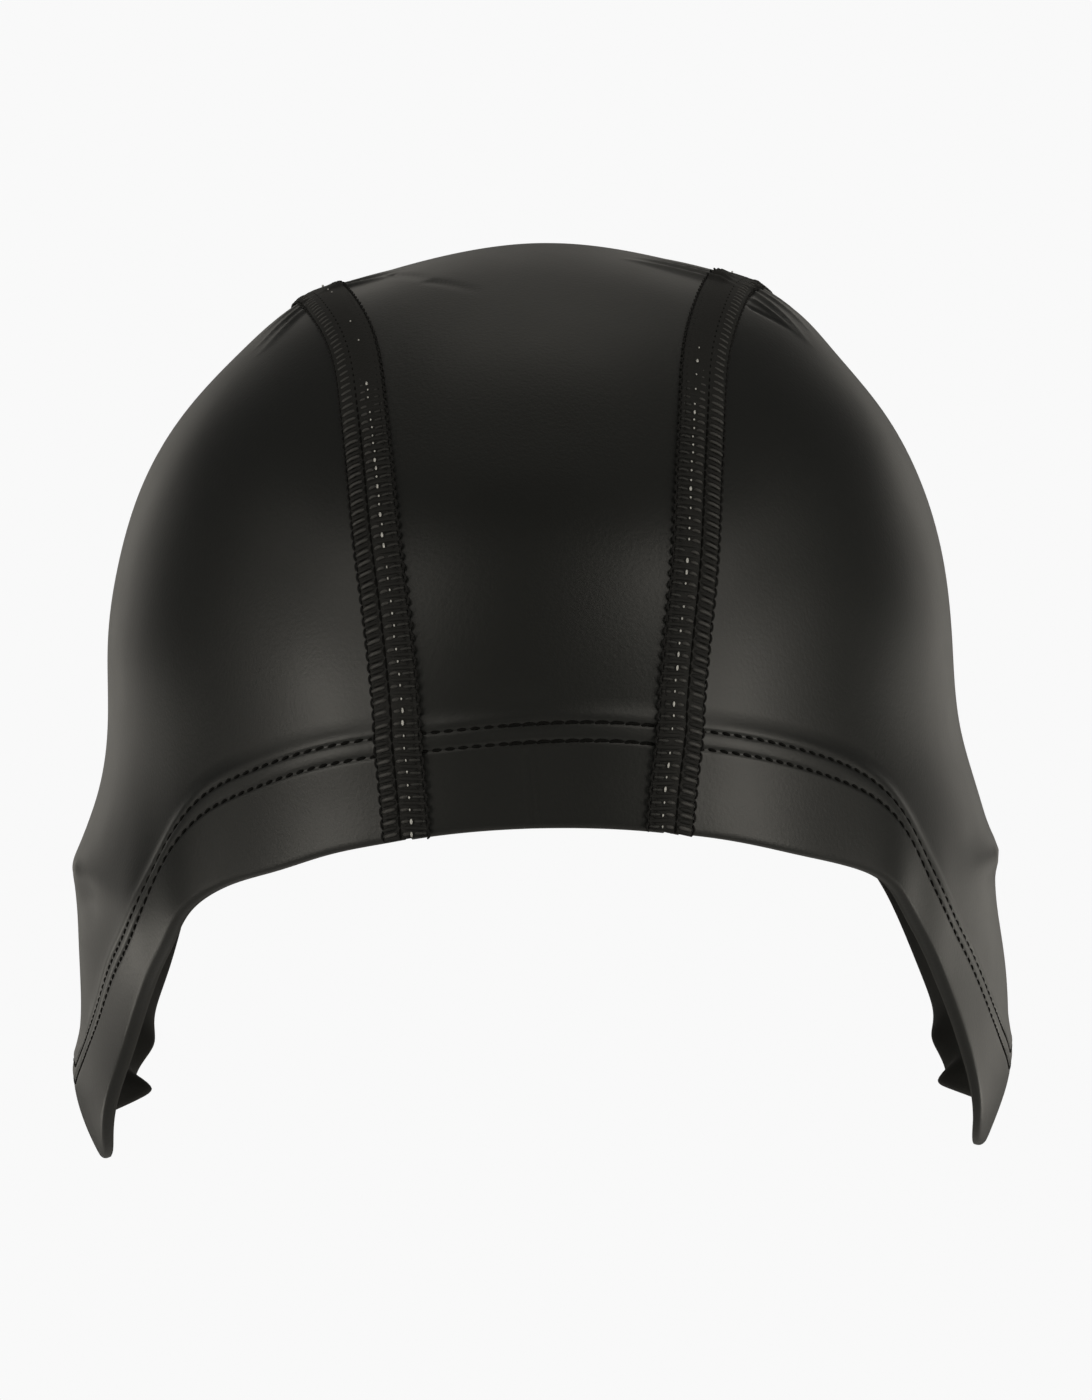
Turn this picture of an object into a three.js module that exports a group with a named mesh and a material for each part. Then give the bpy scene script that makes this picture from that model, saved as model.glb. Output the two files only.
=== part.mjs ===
import * as THREE from "three";

// Swim cap in its worn form, millimetres. +X is the viewer's right, -Y the forehead, +Z up.
// The origin is the head seat: the highest point inside the cap, where the crown of a head rests.

const CLOTH_THICKNESS = 1.3;
const HEM_THICKNESS = 3; // the cloth turned up inside and stitched down
const HEM_WIDTH = 17.8;
const HEM_RAMP = 1.8; // over this width the hem thins to one layer
const HEM_ROUND = 1.1; // radius of the folded lower edge
const SEAM_WIDTH = 8.4; // flatlock band, outside
const SEAM_INSIDE_WIDTH = 6.2;
const SEAM_COVER = 0.8; // thickness of the thread cover on each face
const SEAM_CHAMFER = 0.35;
const SEAM_WEB = 1.0; // threads that pass between the two cut edges
const FIT_GAP = 0.3;
const INSIDE_GAP = 0.4;
const HEM_CLEARANCE = 0.7; // the band's inner cover steps over the hem this far before it

const FULL_DEPTH = 174; // crown to the lowest level of the form
const CROWN_LEAN = 1.8; // the highest point is this far to the right
const CROWN_EGG = 0.02;
const EDGE_MM_PER_DEGREE = 1.5; // along the lower edge, to space its rows

// Level sections: depth below the crown, half width, reach to the front and back of the head seat,
// how square the section is, how much wider it is behind, and its shift to the right.
const SECTIONS = [
  { depth: 2.5, half_width: 20.2, front: 21, back: 20, square: 0, egg: 0.02, lean: 1.6 },
  { depth: 10, half_width: 42.8, front: 44, back: 42, square: 0.01, egg: 0.03, lean: 0.8 },
  { depth: 20, half_width: 55.1, front: 62.5, back: 59, square: 0.02, egg: 0.04, lean: 0.2 },
  { depth: 32, half_width: 65.6, front: 77.5, back: 72.5, square: 0.03, egg: 0.05, lean: -0.3 },
  { depth: 45, half_width: 72.8, front: 90.5, back: 82.5, square: 0.035, egg: 0.06, lean: -0.7 },
  { depth: 60, half_width: 77.2, front: 99, back: 89.5, square: 0.04, egg: 0.07, lean: -0.9 },
  { depth: 75, half_width: 79, front: 103.5, back: 93, square: 0.04, egg: 0.08, lean: -1.1 },
  { depth: 92, half_width: 79.9, front: 105.5, back: 93.5, square: 0.04, egg: 0.09, lean: -0.3 },
  { depth: 106, half_width: 82.9, front: 106, back: 90, square: 0.04, egg: 0.12, lean: 0.4 },
  { depth: 118, half_width: 85.6, front: 106, back: 85, square: 0.04, egg: 0.15, lean: -0.1 },
  { depth: 132, half_width: 85.7, front: 105, back: 80, square: 0.04, egg: 0.17, lean: 0.9 },
  { depth: 146, half_width: 86.3, front: 103.5, back: 76, square: 0.04, egg: 0.18, lean: 1.6 },
  { depth: 158, half_width: 86.3, front: 102, back: 72, square: 0.04, egg: 0.18, lean: 1 },
  { depth: 166, half_width: 84, front: 100, back: 68, square: 0.04, egg: 0.18, lean: 0.4 },
  { depth: 174, half_width: 80.4, front: 98, back: 64, square: 0.04, egg: 0.18, lean: 0.7 },
];

// Lower edge: turn in degrees from the forehead round to the nape, depth below the crown on the
// left, and how much lower or higher the right side is.
const LOWER_EDGE = [
  { turn: 0, depth: 99.2, right_extra: 0 },
  { turn: 10, depth: 99.8, right_extra: -0.1 },
  { turn: 21, depth: 102.3, right_extra: -1.5 },
  { turn: 30, depth: 105, right_extra: -2 },
  { turn: 38, depth: 108.6, right_extra: -2.8 },
  { turn: 45.5, depth: 112.2, right_extra: -3.6 },
  { turn: 51, depth: 117, right_extra: -5.4 },
  { turn: 56, depth: 123.8, right_extra: -6.2 },
  { turn: 62, depth: 131.8, right_extra: -4.8 },
  { turn: 68, depth: 141.2, right_extra: -2.8 },
  { turn: 73, depth: 152.4, right_extra: -1.6 },
  { turn: 78, depth: 162, right_extra: -1.6 },
  { turn: 84, depth: 167.9, right_extra: -2.2 },
  { turn: 92, depth: 170, right_extra: -2.6 },
  { turn: 103, depth: 169, right_extra: -2.6 },
  { turn: 114, depth: 166.4, right_extra: -2.8 },
  { turn: 123, depth: 159.4, right_extra: -0.8 },
  { turn: 129.5, depth: 148.8, right_extra: -0.4 },
  { turn: 134, depth: 135, right_extra: 0 },
  { turn: 138, depth: 124.8, right_extra: 0 },
  { turn: 143.5, depth: 118.2, right_extra: 0 },
  { turn: 151, depth: 114, right_extra: 0 },
  { turn: 162, depth: 110.8, right_extra: 0 },
  { turn: 180, depth: 109, right_extra: 0 },
];

// Seam lines on the flat chart of the form: how far back of the crown, and how far to each side.
const SEAM_LINES = [
  { back: -0.8, left: 0.245, right: 0.235 },
  { back: -0.72, left: 0.236, right: 0.2365 },
  { back: -0.65, left: 0.2155, right: 0.2405 },
  { back: -0.575, left: 0.2065, right: 0.23 },
  { back: -0.5, left: 0.2045, right: 0.2185 },
  { back: -0.42, left: 0.2015, right: 0.205 },
  { back: -0.33, left: 0.202, right: 0.194 },
  { back: -0.22, left: 0.2055, right: 0.1855 },
  { back: -0.1, left: 0.2215, right: 0.192 },
  { back: 0.03, left: 0.236, right: 0.212 },
  { back: 0.2, left: 0.238, right: 0.226 },
  { back: 0.4, left: 0.23, right: 0.226 },
  { back: 0.6, left: 0.224, right: 0.224 },
  { back: 0.85, left: 0.226, right: 0.226 },
];

// Soft folds: where each lies, how far it spreads and how far it stands out. The side is -1 for
// the viewer's left, 1 for the right and 0 for both.
const FOLDS = [
  { what: "left curl behind the ear", side: -1, turn: 114, depth: 163, wide: 4.5, tall: 7, out: -8.8 },
  { what: "right curl behind the ear", side: 1, turn: 114, depth: 161, wide: 4.5, tall: 7, out: -7.4 },
  { what: "wave of the hem above each curl", side: 0, turn: 124.5, depth: 156, wide: 5, tall: 8, out: -5 },
  { what: "cloth in front of each ear", side: 0, turn: 63, depth: 118, wide: 5, tall: 12, out: 0.5 },
  { what: "hollow under each ear", side: 0, turn: 96, depth: 150, wide: 12, tall: 9, out: -0.8 },
  { what: "top of the left ear", side: -1, turn: 84, depth: 114, wide: 9, tall: 3.6, out: 1 },
  { what: "top of the right ear", side: 1, turn: 84, depth: 113, wide: 9, tall: 5, out: 0.6 },
  { what: "fold up each temple", side: 0, turn: 52, depth: 112, wide: 4.5, tall: 14, out: 0.8 },
];

const SIDE_PANEL_MIDDLE = { right: 0.6, back: 0.02 }; // chart point that the side rings close on

// Rings of a side panel, from its rim to its middle: how far out each lies, and how many of the
// rim's vertices share one of its own.
const SIDE_RINGS = [
  { reach: 0.965, every: 1 },
  { reach: 0.88, every: 1 },
  { reach: 0.77, every: 1 },
  { reach: 0.64, every: 2 },
  { reach: 0.49, every: 2 },
  { reach: 0.33, every: 4 },
  { reach: 0.16, every: 4 },
];
const HEM_ROWS = [HEM_ROUND, 6, 11.5, HEM_WIDTH - HEM_RAMP, HEM_WIDTH];
// Stations round one ear flap's hem: even steps up to each share of its length, closest where it
// curls behind the ear.
const HEM_SPANS = [
  { upTo: 0.515, steps: 25 },
  { upTo: 0.72, steps: 23 },
  { upTo: 1, steps: 12 },
];
const SEAM_STEPS = 36; // over the head, between the two hems
const CENTRE_COLUMNS = 8;
const CHART_STEP = 1e-4;
const MARCH_STEPS = 6;
const FINE_STEPS = 600;
const HALVINGS = 40; // of a span that holds the place searched for
const FRONT_SEARCH = { inside: -0.5, outside: -0.8 };
const REAR_SEARCH = { inside: 0.5, outside: 0.85 };
const EDGE_TILT = 0.02; // tells the front edge from the rear one where the face is upright

// Natural cubic spline through (xs, ys).
function splineThrough(xs, ys) {
  const last = xs.length - 1;
  const bend = new Array(last + 1).fill(0);
  const upper = new Array(last + 1).fill(0);
  for (let i = 1; i < last; i++) {
    const before = xs[i] - xs[i - 1];
    const after = xs[i + 1] - xs[i];
    const pivot = 2 * (before + after) - before * upper[i - 1];
    const slopeChange = (ys[i + 1] - ys[i]) / after - (ys[i] - ys[i - 1]) / before;
    upper[i] = after / pivot;
    bend[i] = (6 * slopeChange - before * bend[i - 1]) / pivot;
  }
  for (let i = last - 1; i > 0; i--) {
    bend[i] -= upper[i] * bend[i + 1];
  }
  return (x) => {
    let i = 0;
    while (i < last - 1 && x > xs[i + 1]) {
      i++;
    }
    const span = xs[i + 1] - xs[i];
    const p = (xs[i + 1] - x) / span;
    const q = 1 - p;
    const curve = (p ** 3 - p) * bend[i] + (q ** 3 - q) * bend[i + 1];
    return p * ys[i] + q * ys[i + 1] + (curve * span * span) / 6;
  };
}

// A column of the section table over the chart's reach, continued through the crown so that the
// form is smooth there: sizes change sign across it (crown value 0), shapes don't.
const reaches = SECTIONS.map((row) => Math.sqrt(row.depth / FULL_DEPTH));
function acrossCrown(values, atCrown, sign) {
  const xs = [...reaches.map((r) => -r).reverse(), 0, ...reaches];
  const ys = [...values.map((v) => sign * v).reverse(), atCrown, ...values];
  return splineThrough(xs, ys);
}
const halfWidth = acrossCrown(SECTIONS.map((row) => row.half_width), 0, -1);
const halfLength = acrossCrown(SECTIONS.map((row) => (row.front + row.back) / 2), 0, -1);
const middleBack = acrossCrown(SECTIONS.map((row) => (row.back - row.front) / 2), 0, 1);
const squareness = acrossCrown(SECTIONS.map((row) => row.square), 0, 1);
const eggShape = acrossCrown(SECTIONS.map((row) => row.egg), CROWN_EGG, 1);
const lean = acrossCrown(SECTIONS.map((row) => row.lean), CROWN_LEAN, 1);

const turnOf = (at) => THREE.MathUtils.radToDeg(Math.atan2(Math.abs(at.right), -at.back));
const depthOf = (at) => FULL_DEPTH * (at.right ** 2 + at.back ** 2);

// Point of the smooth form at a place on the flat chart, whose middle is the crown.
function formPoint(at) {
  const reach = Math.hypot(at.right, at.back);
  const cosine = reach > 0 ? at.right / reach : 1;
  const sine = reach > 0 ? at.back / reach : 0;
  const bulge = 1 + squareness(reach) * 4 * (cosine * sine) ** 2;
  const x = lean(reach) + halfWidth(reach) * cosine * bulge * (1 + eggShape(reach) * sine);
  const y = middleBack(reach) + halfLength(reach) * sine * bulge;
  return new THREE.Vector3(x, y, CLOTH_THICKNESS - FULL_DEPTH * reach * reach);
}

function slopes(at, pointAt) {
  const here = pointAt(at);
  const toRight = pointAt({ right: at.right + CHART_STEP, back: at.back }).sub(here);
  const toBack = pointAt({ right: at.right, back: at.back + CHART_STEP }).sub(here);
  toRight.divideScalar(CHART_STEP);
  toBack.divideScalar(CHART_STEP);
  return { toRight, toBack, normal: toRight.clone().cross(toBack).normalize() };
}

function foldHeight(at) {
  const turn = turnOf(at);
  const depth = depthOf(at);
  let height = 0;
  for (const fold of FOLDS) {
    if (fold.side * at.right < 0) {
      continue;
    }
    const across = (turn - fold.turn) / fold.wide;
    const down = (depth - fold.depth) / fold.tall;
    height += fold.out * Math.exp(-(across * across + down * down));
  }
  return height;
}

// Point of the cap's outer face, with its folds.
function facePoint(at) {
  const { normal } = slopes(at, formPoint);
  return formPoint(at).addScaledVector(normal, foldHeight(at));
}

const faceNormal = (at) => slopes(at, facePoint).normal;

// The chart place reached by a step of the given length across the face.
function stepAcross(at, direction, length) {
  const { toRight, toBack } = slopes(at, formPoint);
  const rr = toRight.dot(toRight);
  const rb = toRight.dot(toBack);
  const bb = toBack.dot(toBack);
  const r = toRight.dot(direction) * length;
  const b = toBack.dot(direction) * length;
  const det = rr * bb - rb * rb;
  return { right: at.right + (r * bb - b * rb) / det, back: at.back + (b * rr - r * rb) / det };
}

// A walk over the face that starts in a direction and keeps straight; returns the end place.
function walkAcross(start, direction, length, steps) {
  let at = start;
  const heading = direction.clone();
  for (let i = 0; i < steps; i++) {
    const { normal } = slopes(at, formPoint);
    heading.addScaledVector(normal, -heading.dot(normal)).normalize();
    at = stepAcross(at, heading, length / steps);
  }
  return at;
}

// A line on the chart measured along the face: shareAt(distance) finds its parameter, 0 to 1.
function measuredLine(placeAt) {
  const distances = [0];
  let previous = formPoint(placeAt(0));
  for (let i = 1; i <= FINE_STEPS; i++) {
    const next = formPoint(placeAt(i / FINE_STEPS));
    distances.push(distances[i - 1] + next.distanceTo(previous));
    previous = next;
  }
  const shareAt = (distance) => {
    let i = 0;
    while (i < FINE_STEPS - 1 && distances[i + 1] < distance) {
      i++;
    }
    const part = (distance - distances[i]) / (distances[i + 1] - distances[i]);
    return (i + part) / FINE_STEPS;
  };
  return { length: distances[FINE_STEPS], shareAt, at: (distance) => placeAt(shareAt(distance)) };
}

// Lower edge of one side as chart places, by share of the way from the forehead to the nape.
const edgeShare = [0];
for (let i = 1; i < LOWER_EDGE.length; i++) {
  const aside = (LOWER_EDGE[i].turn - LOWER_EDGE[i - 1].turn) * EDGE_MM_PER_DEGREE;
  const down = LOWER_EDGE[i].depth - LOWER_EDGE[i - 1].depth;
  edgeShare.push(edgeShare[i - 1] + Math.hypot(aside, down));
}
const edgeTurn = splineThrough(edgeShare, LOWER_EDGE.map((row) => row.turn));
const edgeDepth = splineThrough(edgeShare, LOWER_EDGE.map((row) => row.depth));
const edgeExtra = splineThrough(edgeShare, LOWER_EDGE.map((row) => row.right_extra));

function edgePlace(side, share) {
  const run = share * edgeShare[edgeShare.length - 1];
  const depth = edgeDepth(run) + (side > 0 ? edgeExtra(run) : 0);
  const turn = THREE.MathUtils.degToRad(edgeTurn(run));
  const reach = Math.sqrt(depth / FULL_DEPTH);
  return { right: side * reach * Math.sin(turn), back: -reach * Math.cos(turn) };
}

// Share of the lower edge at which its turn is the one of a place; the edge never turns back.
function edgeShareAtTurn(turn) {
  let low = 0;
  let high = 1;
  for (let i = 0; i < HALVINGS; i++) {
    const middle = (low + high) / 2;
    if (edgeTurn(middle * edgeShare[edgeShare.length - 1]) < turn) {
      low = middle;
    } else {
      high = middle;
    }
  }
  return low;
}

const seamBacks = SEAM_LINES.map((row) => row.back);
const seamAside = {
  left: splineThrough(seamBacks, SEAM_LINES.map((row) => row.left)),
  right: splineThrough(seamBacks, SEAM_LINES.map((row) => row.right)),
};

function seamPlace(side, back) {
  const aside = side > 0 ? seamAside.right(back) : seamAside.left(back);
  return { right: side * aside, back };
}

// Moves a seam place sideways over the face, outwards from the centre panel if aside is positive.
function besideSeam(side, back, aside) {
  const at = seamPlace(side, back);
  const ahead = formPoint(seamPlace(side, back + CHART_STEP)).sub(formPoint(at));
  const across = ahead.cross(slopes(at, formPoint).normal).normalize();
  return stepAcross(at, across, side * aside);
}

// Where a seam crosses the lower edge, searched between a place on the cap and one below it.
function crossing(side, search) {
  let { inside, outside } = search;
  for (let i = 0; i < HALVINGS; i++) {
    const back = (inside + outside) / 2;
    const at = seamPlace(side, back);
    const edge = edgePlace(side, edgeShareAtTurn(turnOf(at)));
    if (depthOf(at) < depthOf(edge)) {
      inside = back;
    } else {
      outside = back;
    }
  }
  return inside;
}

// A seam from the front edge over the head to the back edge, with its stations: how far each is
// from the nearer end and how far back it lies on the chart. Both panels and the band share them.
function seamLine(side) {
  const front = crossing(side, FRONT_SEARCH);
  const rear = crossing(side, REAR_SEARCH);
  const backAt = (share) => front + (rear - front) * share;
  const line = measuredLine((share) => seamPlace(side, backAt(share)));
  const stations = stationsAlong(line.length).map((distance) => ({
    fromEdge: Math.min(distance, line.length - distance),
    back: backAt(line.shareAt(distance)),
  }));
  return { front, rear, stations };
}

function centreLine() {
  const front = edgePlace(1, 0).back;
  const rear = edgePlace(1, 1).back;
  return measuredLine((share) => ({ right: 0, back: front + (rear - front) * share }));
}

// Distances from the front edge at which a line of the given length gets a vertex: the hem rows,
// even steps over the head, and the hem rows again.
function stationsAlong(length) {
  const stations = [...HEM_ROWS];
  const middle = length - 2 * HEM_WIDTH;
  for (let i = 1; i < SEAM_STEPS; i++) {
    stations.push(HEM_WIDTH + (middle * i) / SEAM_STEPS);
  }
  return [...stations, ...HEM_ROWS.map((row) => length - row).reverse()];
}

// Shares of a hem's length at which it has a station.
function hemShares() {
  const shares = [0];
  let from = 0;
  for (const { upTo, steps } of HEM_SPANS) {
    for (let i = 1; i <= steps; i++) {
      shares.push(from + ((upTo - from) * i) / steps);
    }
    from = upTo;
  }
  return shares;
}

function thicknessAt(fromEdge) {
  const share = THREE.MathUtils.clamp((HEM_WIDTH - fromEdge) / HEM_RAMP, 0, 1);
  return CLOTH_THICKNESS + (HEM_THICKNESS - CLOTH_THICKNESS) * share;
}

// One cloth body from vertices {at, fromEdge, down?} and triangles seen from outside. Vertices on
// the lower edge carry `down`, the way the folded edge rounds over.
function clothBody(vertices, triangles, loop) {
  const positions = [];
  const outer = vertices.map((v) => {
    positions.push(facePoint(v.at));
    return positions.length - 1;
  });
  const inner = vertices.map((v) => {
    const thickness = thicknessAt(v.fromEdge);
    positions.push(facePoint(v.at).addScaledVector(faceNormal(v.at), -thickness));
    return positions.length - 1;
  });
  const faces = [];
  for (const [a, b, c] of triangles) {
    faces.push([outer[a], outer[b], outer[c]], [inner[a], inner[c], inner[b]]);
  }
  const columns = loop.map((index) => {
    const v = vertices[index];
    if (!v.down) {
      return [outer[index], inner[index]];
    }
    const normal = faceNormal(v.at);
    const rounded = [HEM_ROUND, HEM_THICKNESS - HEM_ROUND].map((depth) => {
      const point = facePoint(v.at).addScaledVector(v.down, HEM_ROUND);
      positions.push(point.addScaledVector(normal, -depth));
      return positions.length - 1;
    });
    return [outer[index], ...rounded, inner[index]];
  });
  for (let i = 0; i < columns.length; i++) {
    stitchColumns(columns[i], columns[(i + 1) % columns.length], faces);
  }
  return geometryOf(positions, faces);
}

// Joins two columns of vertices, which may differ in number, with triangles.
function stitchColumns(here, next, faces) {
  let i = 0;
  let j = 0;
  while (i < here.length - 1 || j < next.length - 1) {
    const hereShare = (i + 1) / (here.length - 1);
    const nextShare = (j + 1) / (next.length - 1);
    if (j === next.length - 1 || (i < here.length - 1 && hereShare <= nextShare)) {
      faces.push([here[i], here[i + 1], next[j]]);
      i++;
    } else {
      faces.push([here[i], next[j + 1], next[j]]);
      j++;
    }
  }
}

function geometryOf(positions, faces) {
  const geometry = new THREE.BufferGeometry();
  const flat = positions.flatMap((p) => [p.x, p.y, p.z]);
  geometry.setAttribute("position", new THREE.Float32BufferAttribute(flat, 3));
  geometry.setIndex(faces.flat());
  geometry.computeVertexNormals();
  return geometry;
}

// Turns each triangle to face outwards, by the normal of the face at its first corner.
function facingOut(vertices, triangles) {
  return triangles.map(([a, b, c]) => {
    const [p, q, r] = [a, b, c].map((i) => facePoint(vertices[i].at));
    const way = q.sub(p).cross(r.sub(p)).dot(faceNormal(vertices[a].at));
    return way > 0 ? [a, b, c] : [a, c, b];
  });
}

// Directions across the hem at an edge place: up into the panel, and down over the fold.
function upFromEdge(side, share) {
  const here = formPoint(edgePlace(side, share));
  const tangent = formPoint(edgePlace(side, share + CHART_STEP)).sub(here);
  const { normal } = slopes(edgePlace(side, share), formPoint);
  return normal.cross(tangent).normalize().multiplyScalar(side);
}

const panelEdge = SEAM_WEB / 2 + FIT_GAP;
const seams = { left: seamLine(-1), right: seamLine(1) };

function centrePanel() {
  const middle = centreLine();
  const middleStations = stationsAlong(middle.length);
  const rows = middleStations.length;
  const columns = CENTRE_COLUMNS + 1;
  const vertices = [];
  for (let row = 0; row < rows; row++) {
    const a = besideSeam(-1, seams.left.stations[row].back, -panelEdge);
    const m = middle.at(middleStations[row]);
    const b = besideSeam(1, seams.right.stations[row].back, -panelEdge);
    const fromEdge = Math.min(middleStations[row], middle.length - middleStations[row]);
    for (let column = 0; column < columns; column++) {
      const s = (2 * column) / CENTRE_COLUMNS - 1;
      const [la, lm, lb] = [(s * (s - 1)) / 2, 1 - s * s, (s * (s + 1)) / 2];
      const at = {
        right: la * a.right + lm * m.right + lb * b.right,
        back: la * a.back + lm * m.back + lb * b.back,
      };
      const vertex = { at, fromEdge };
      if (row === 0 || row === rows - 1) {
        const nearer = new THREE.Vector3(0, row === 0 ? -1 : 1, 0);
        vertex.down = alongFace(at, nearer);
      }
      vertices.push(vertex);
    }
  }
  const index = (row, column) => row * columns + column;
  const triangles = [];
  for (let row = 0; row + 1 < rows; row++) {
    for (let column = 0; column + 1 < columns; column++) {
      const [a, b] = [index(row, column), index(row, column + 1)];
      const [c, d] = [index(row + 1, column), index(row + 1, column + 1)];
      const mirrored = column < CENTRE_COLUMNS / 2;
      triangles.push(...(mirrored ? [[a, b, d], [a, d, c]] : [[a, b, c], [b, d, c]]));
    }
  }
  const loop = [];
  for (let column = 0; column < columns; column++) {
    loop.push(index(0, column));
  }
  for (let row = 1; row < rows; row++) {
    loop.push(index(row, columns - 1));
  }
  for (let column = columns - 2; column >= 0; column--) {
    loop.push(index(rows - 1, column));
  }
  for (let row = rows - 2; row > 0; row--) {
    loop.push(index(row, 0));
  }
  return clothBody(vertices, facingOut(vertices, triangles), loop);
}

// Unit vector along the face that leads down at a front or back edge.
function alongFace(at, outwards) {
  const normal = faceNormal(at);
  const down = new THREE.Vector3(0, 0, -1).addScaledVector(outwards, EDGE_TILT);
  return down.addScaledVector(normal, -down.dot(normal)).normalize();
}

function sidePanel(side) {
  const { front, rear, stations } = side > 0 ? seams.right : seams.left;
  const hemRows = HEM_ROWS.length;
  const firstShare = edgeShareAtTurn(turnOf(besideSeam(side, front, panelEdge)));
  const lastShare = edgeShareAtTurn(turnOf(besideSeam(side, rear, panelEdge)));
  const edgeShareAt = (share) => firstShare + (lastShare - firstShare) * share;
  const edge = measuredLine((share) => edgePlace(side, edgeShareAt(share)));
  const vertices = [];
  const shares = hemShares();
  const lastStation = shares.length - 1;
  const hemIndex = (station, row) => station * hemRows + row;
  for (let station = 0; station <= lastStation; station++) {
    const share = edgeShareAt(edge.shareAt(edge.length * shares[station]));
    const place = edgePlace(side, share);
    const up = upFromEdge(side, share);
    for (let row = 0; row < hemRows; row++) {
      let at = walkAcross(place, up, HEM_ROWS[row], MARCH_STEPS);
      if (station === 0) {
        at = besideSeam(side, stations[row].back, panelEdge);
      } else if (station === lastStation) {
        at = besideSeam(side, stations[stations.length - 1 - row].back, panelEdge);
      }
      const vertex = { at, fromEdge: HEM_ROWS[row] };
      if (row === 0) {
        vertex.down = up.clone().negate();
      }
      vertices.push(vertex);
    }
  }
  const triangles = [];
  for (let station = 0; station < lastStation; station++) {
    for (let row = 0; row + 1 < hemRows; row++) {
      const [a, b] = [hemIndex(station, row), hemIndex(station + 1, row)];
      const [c, d] = [hemIndex(station, row + 1), hemIndex(station + 1, row + 1)];
      triangles.push([a, b, d], [a, d, c]);
    }
  }
  const boundary = [];
  for (let station = 0; station < lastStation; station++) {
    boundary.push(hemIndex(station, hemRows - 1));
  }
  const seamVertices = [];
  for (let i = hemRows; i < stations.length - hemRows; i++) {
    vertices.push({ at: besideSeam(side, stations[i].back, panelEdge), fromEdge: HEM_WIDTH });
    seamVertices.push(vertices.length - 1);
  }
  boundary.push(hemIndex(lastStation, hemRows - 1), ...seamVertices.slice().reverse());
  const middle = { right: side * SIDE_PANEL_MIDDLE.right, back: SIDE_PANEL_MIDDLE.back };
  let ring = boundary;
  for (const { reach, every } of SIDE_RINGS) {
    const next = [];
    for (let i = 0; i < boundary.length; i += every) {
      const rim = vertices[boundary[i]].at;
      const right = middle.right + (rim.right - middle.right) * reach;
      const back = middle.back + (rim.back - middle.back) * reach;
      vertices.push({ at: { right, back }, fromEdge: HEM_WIDTH });
      next.push(vertices.length - 1);
    }
    stitchColumns([...ring, ring[0]], [...next, next[0]], triangles);
    ring = next;
  }
  vertices.push({ at: middle, fromEdge: HEM_WIDTH });
  for (let i = 0; i < ring.length; i++) {
    triangles.push([ring[i], ring[(i + 1) % ring.length], vertices.length - 1]);
  }
  const loop = [];
  for (let station = 0; station <= lastStation; station++) {
    loop.push(hemIndex(station, 0));
  }
  for (let row = 1; row < hemRows; row++) {
    loop.push(hemIndex(lastStation, row));
  }
  loop.push(...seamVertices.slice().reverse());
  for (let row = hemRows - 1; row > 0; row--) {
    loop.push(hemIndex(0, row));
  }
  if (side < 0) {
    loop.reverse();
  }
  return clothBody(vertices, facingOut(vertices, triangles), loop);
}

// Section of a flatlock seam: a cover of thread on each face and the threads between them,
// as [aside, out] pairs for a cloth of the given thickness.
function seamSection(thickness) {
  const wide = SEAM_WIDTH / 2;
  const web = SEAM_WEB / 2;
  const narrow = SEAM_INSIDE_WIDTH / 2;
  const top = FIT_GAP + SEAM_COVER;
  const under = -thickness - INSIDE_GAP;
  return [
    [-wide, FIT_GAP],
    [-web, FIT_GAP],
    [-web, under],
    [-narrow, under],
    [-narrow, under - SEAM_COVER],
    [narrow, under - SEAM_COVER],
    [narrow, under],
    [web, under],
    [web, FIT_GAP],
    [wide, FIT_GAP],
    [wide, top - SEAM_CHAMFER],
    [wide - SEAM_CHAMFER, top],
    [SEAM_CHAMFER - wide, top],
    [-wide, top - SEAM_CHAMFER],
  ];
}

function seamBand(side) {
  const { stations } = side > 0 ? seams.right : seams.left;
  const sectionSize = seamSection(CLOTH_THICKNESS).length;
  const positions = [];
  for (const { back, fromEdge } of stations) {
    for (const [aside, out] of seamSection(thicknessAt(fromEdge - HEM_CLEARANCE))) {
      const beside = besideSeam(side, back, side * aside);
      positions.push(facePoint(beside).addScaledVector(faceNormal(beside), out));
    }
  }
  const faces = [];
  for (let row = 0; row + 1 < stations.length; row++) {
    for (let i = 0; i < sectionSize; i++) {
      const j = (i + 1) % sectionSize;
      const [a, b] = [row * sectionSize + i, row * sectionSize + j];
      faces.push([a, b + sectionSize, b], [a, a + sectionSize, b + sectionSize]);
    }
  }
  const outline = seamSection(CLOTH_THICKNESS).map(([x, y]) => new THREE.Vector2(x, y));
  const cap = THREE.ShapeUtils.triangulateShape(outline, []);
  const lastRow = (stations.length - 1) * sectionSize;
  for (const [a, b, c] of cap) {
    faces.push([a, b, c], [a + lastRow, c + lastRow, b + lastRow]);
  }
  return geometryOf(positions, faces);
}

const clothColour = "#22231f";
const group = new THREE.Group();
group.name = "swim_cap";

function addPiece(name, geometry, colour, roughness) {
  const material = new THREE.MeshStandardMaterial({ color: colour, roughness, metalness: 0 });
  const mesh = new THREE.Mesh(geometry, material);
  mesh.name = name;
  group.add(mesh);
}

addPiece("centre_panel", centrePanel(), clothColour, 0.5);
addPiece("side_panel_left", sidePanel(-1), clothColour, 0.5);
addPiece("side_panel_right", sidePanel(1), clothColour, 0.5);
addPiece("seam_left", seamBand(-1), "#161614", 0.8);
addPiece("seam_right", seamBand(1), "#161614", 0.8);

export default group;
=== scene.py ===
import math

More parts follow.
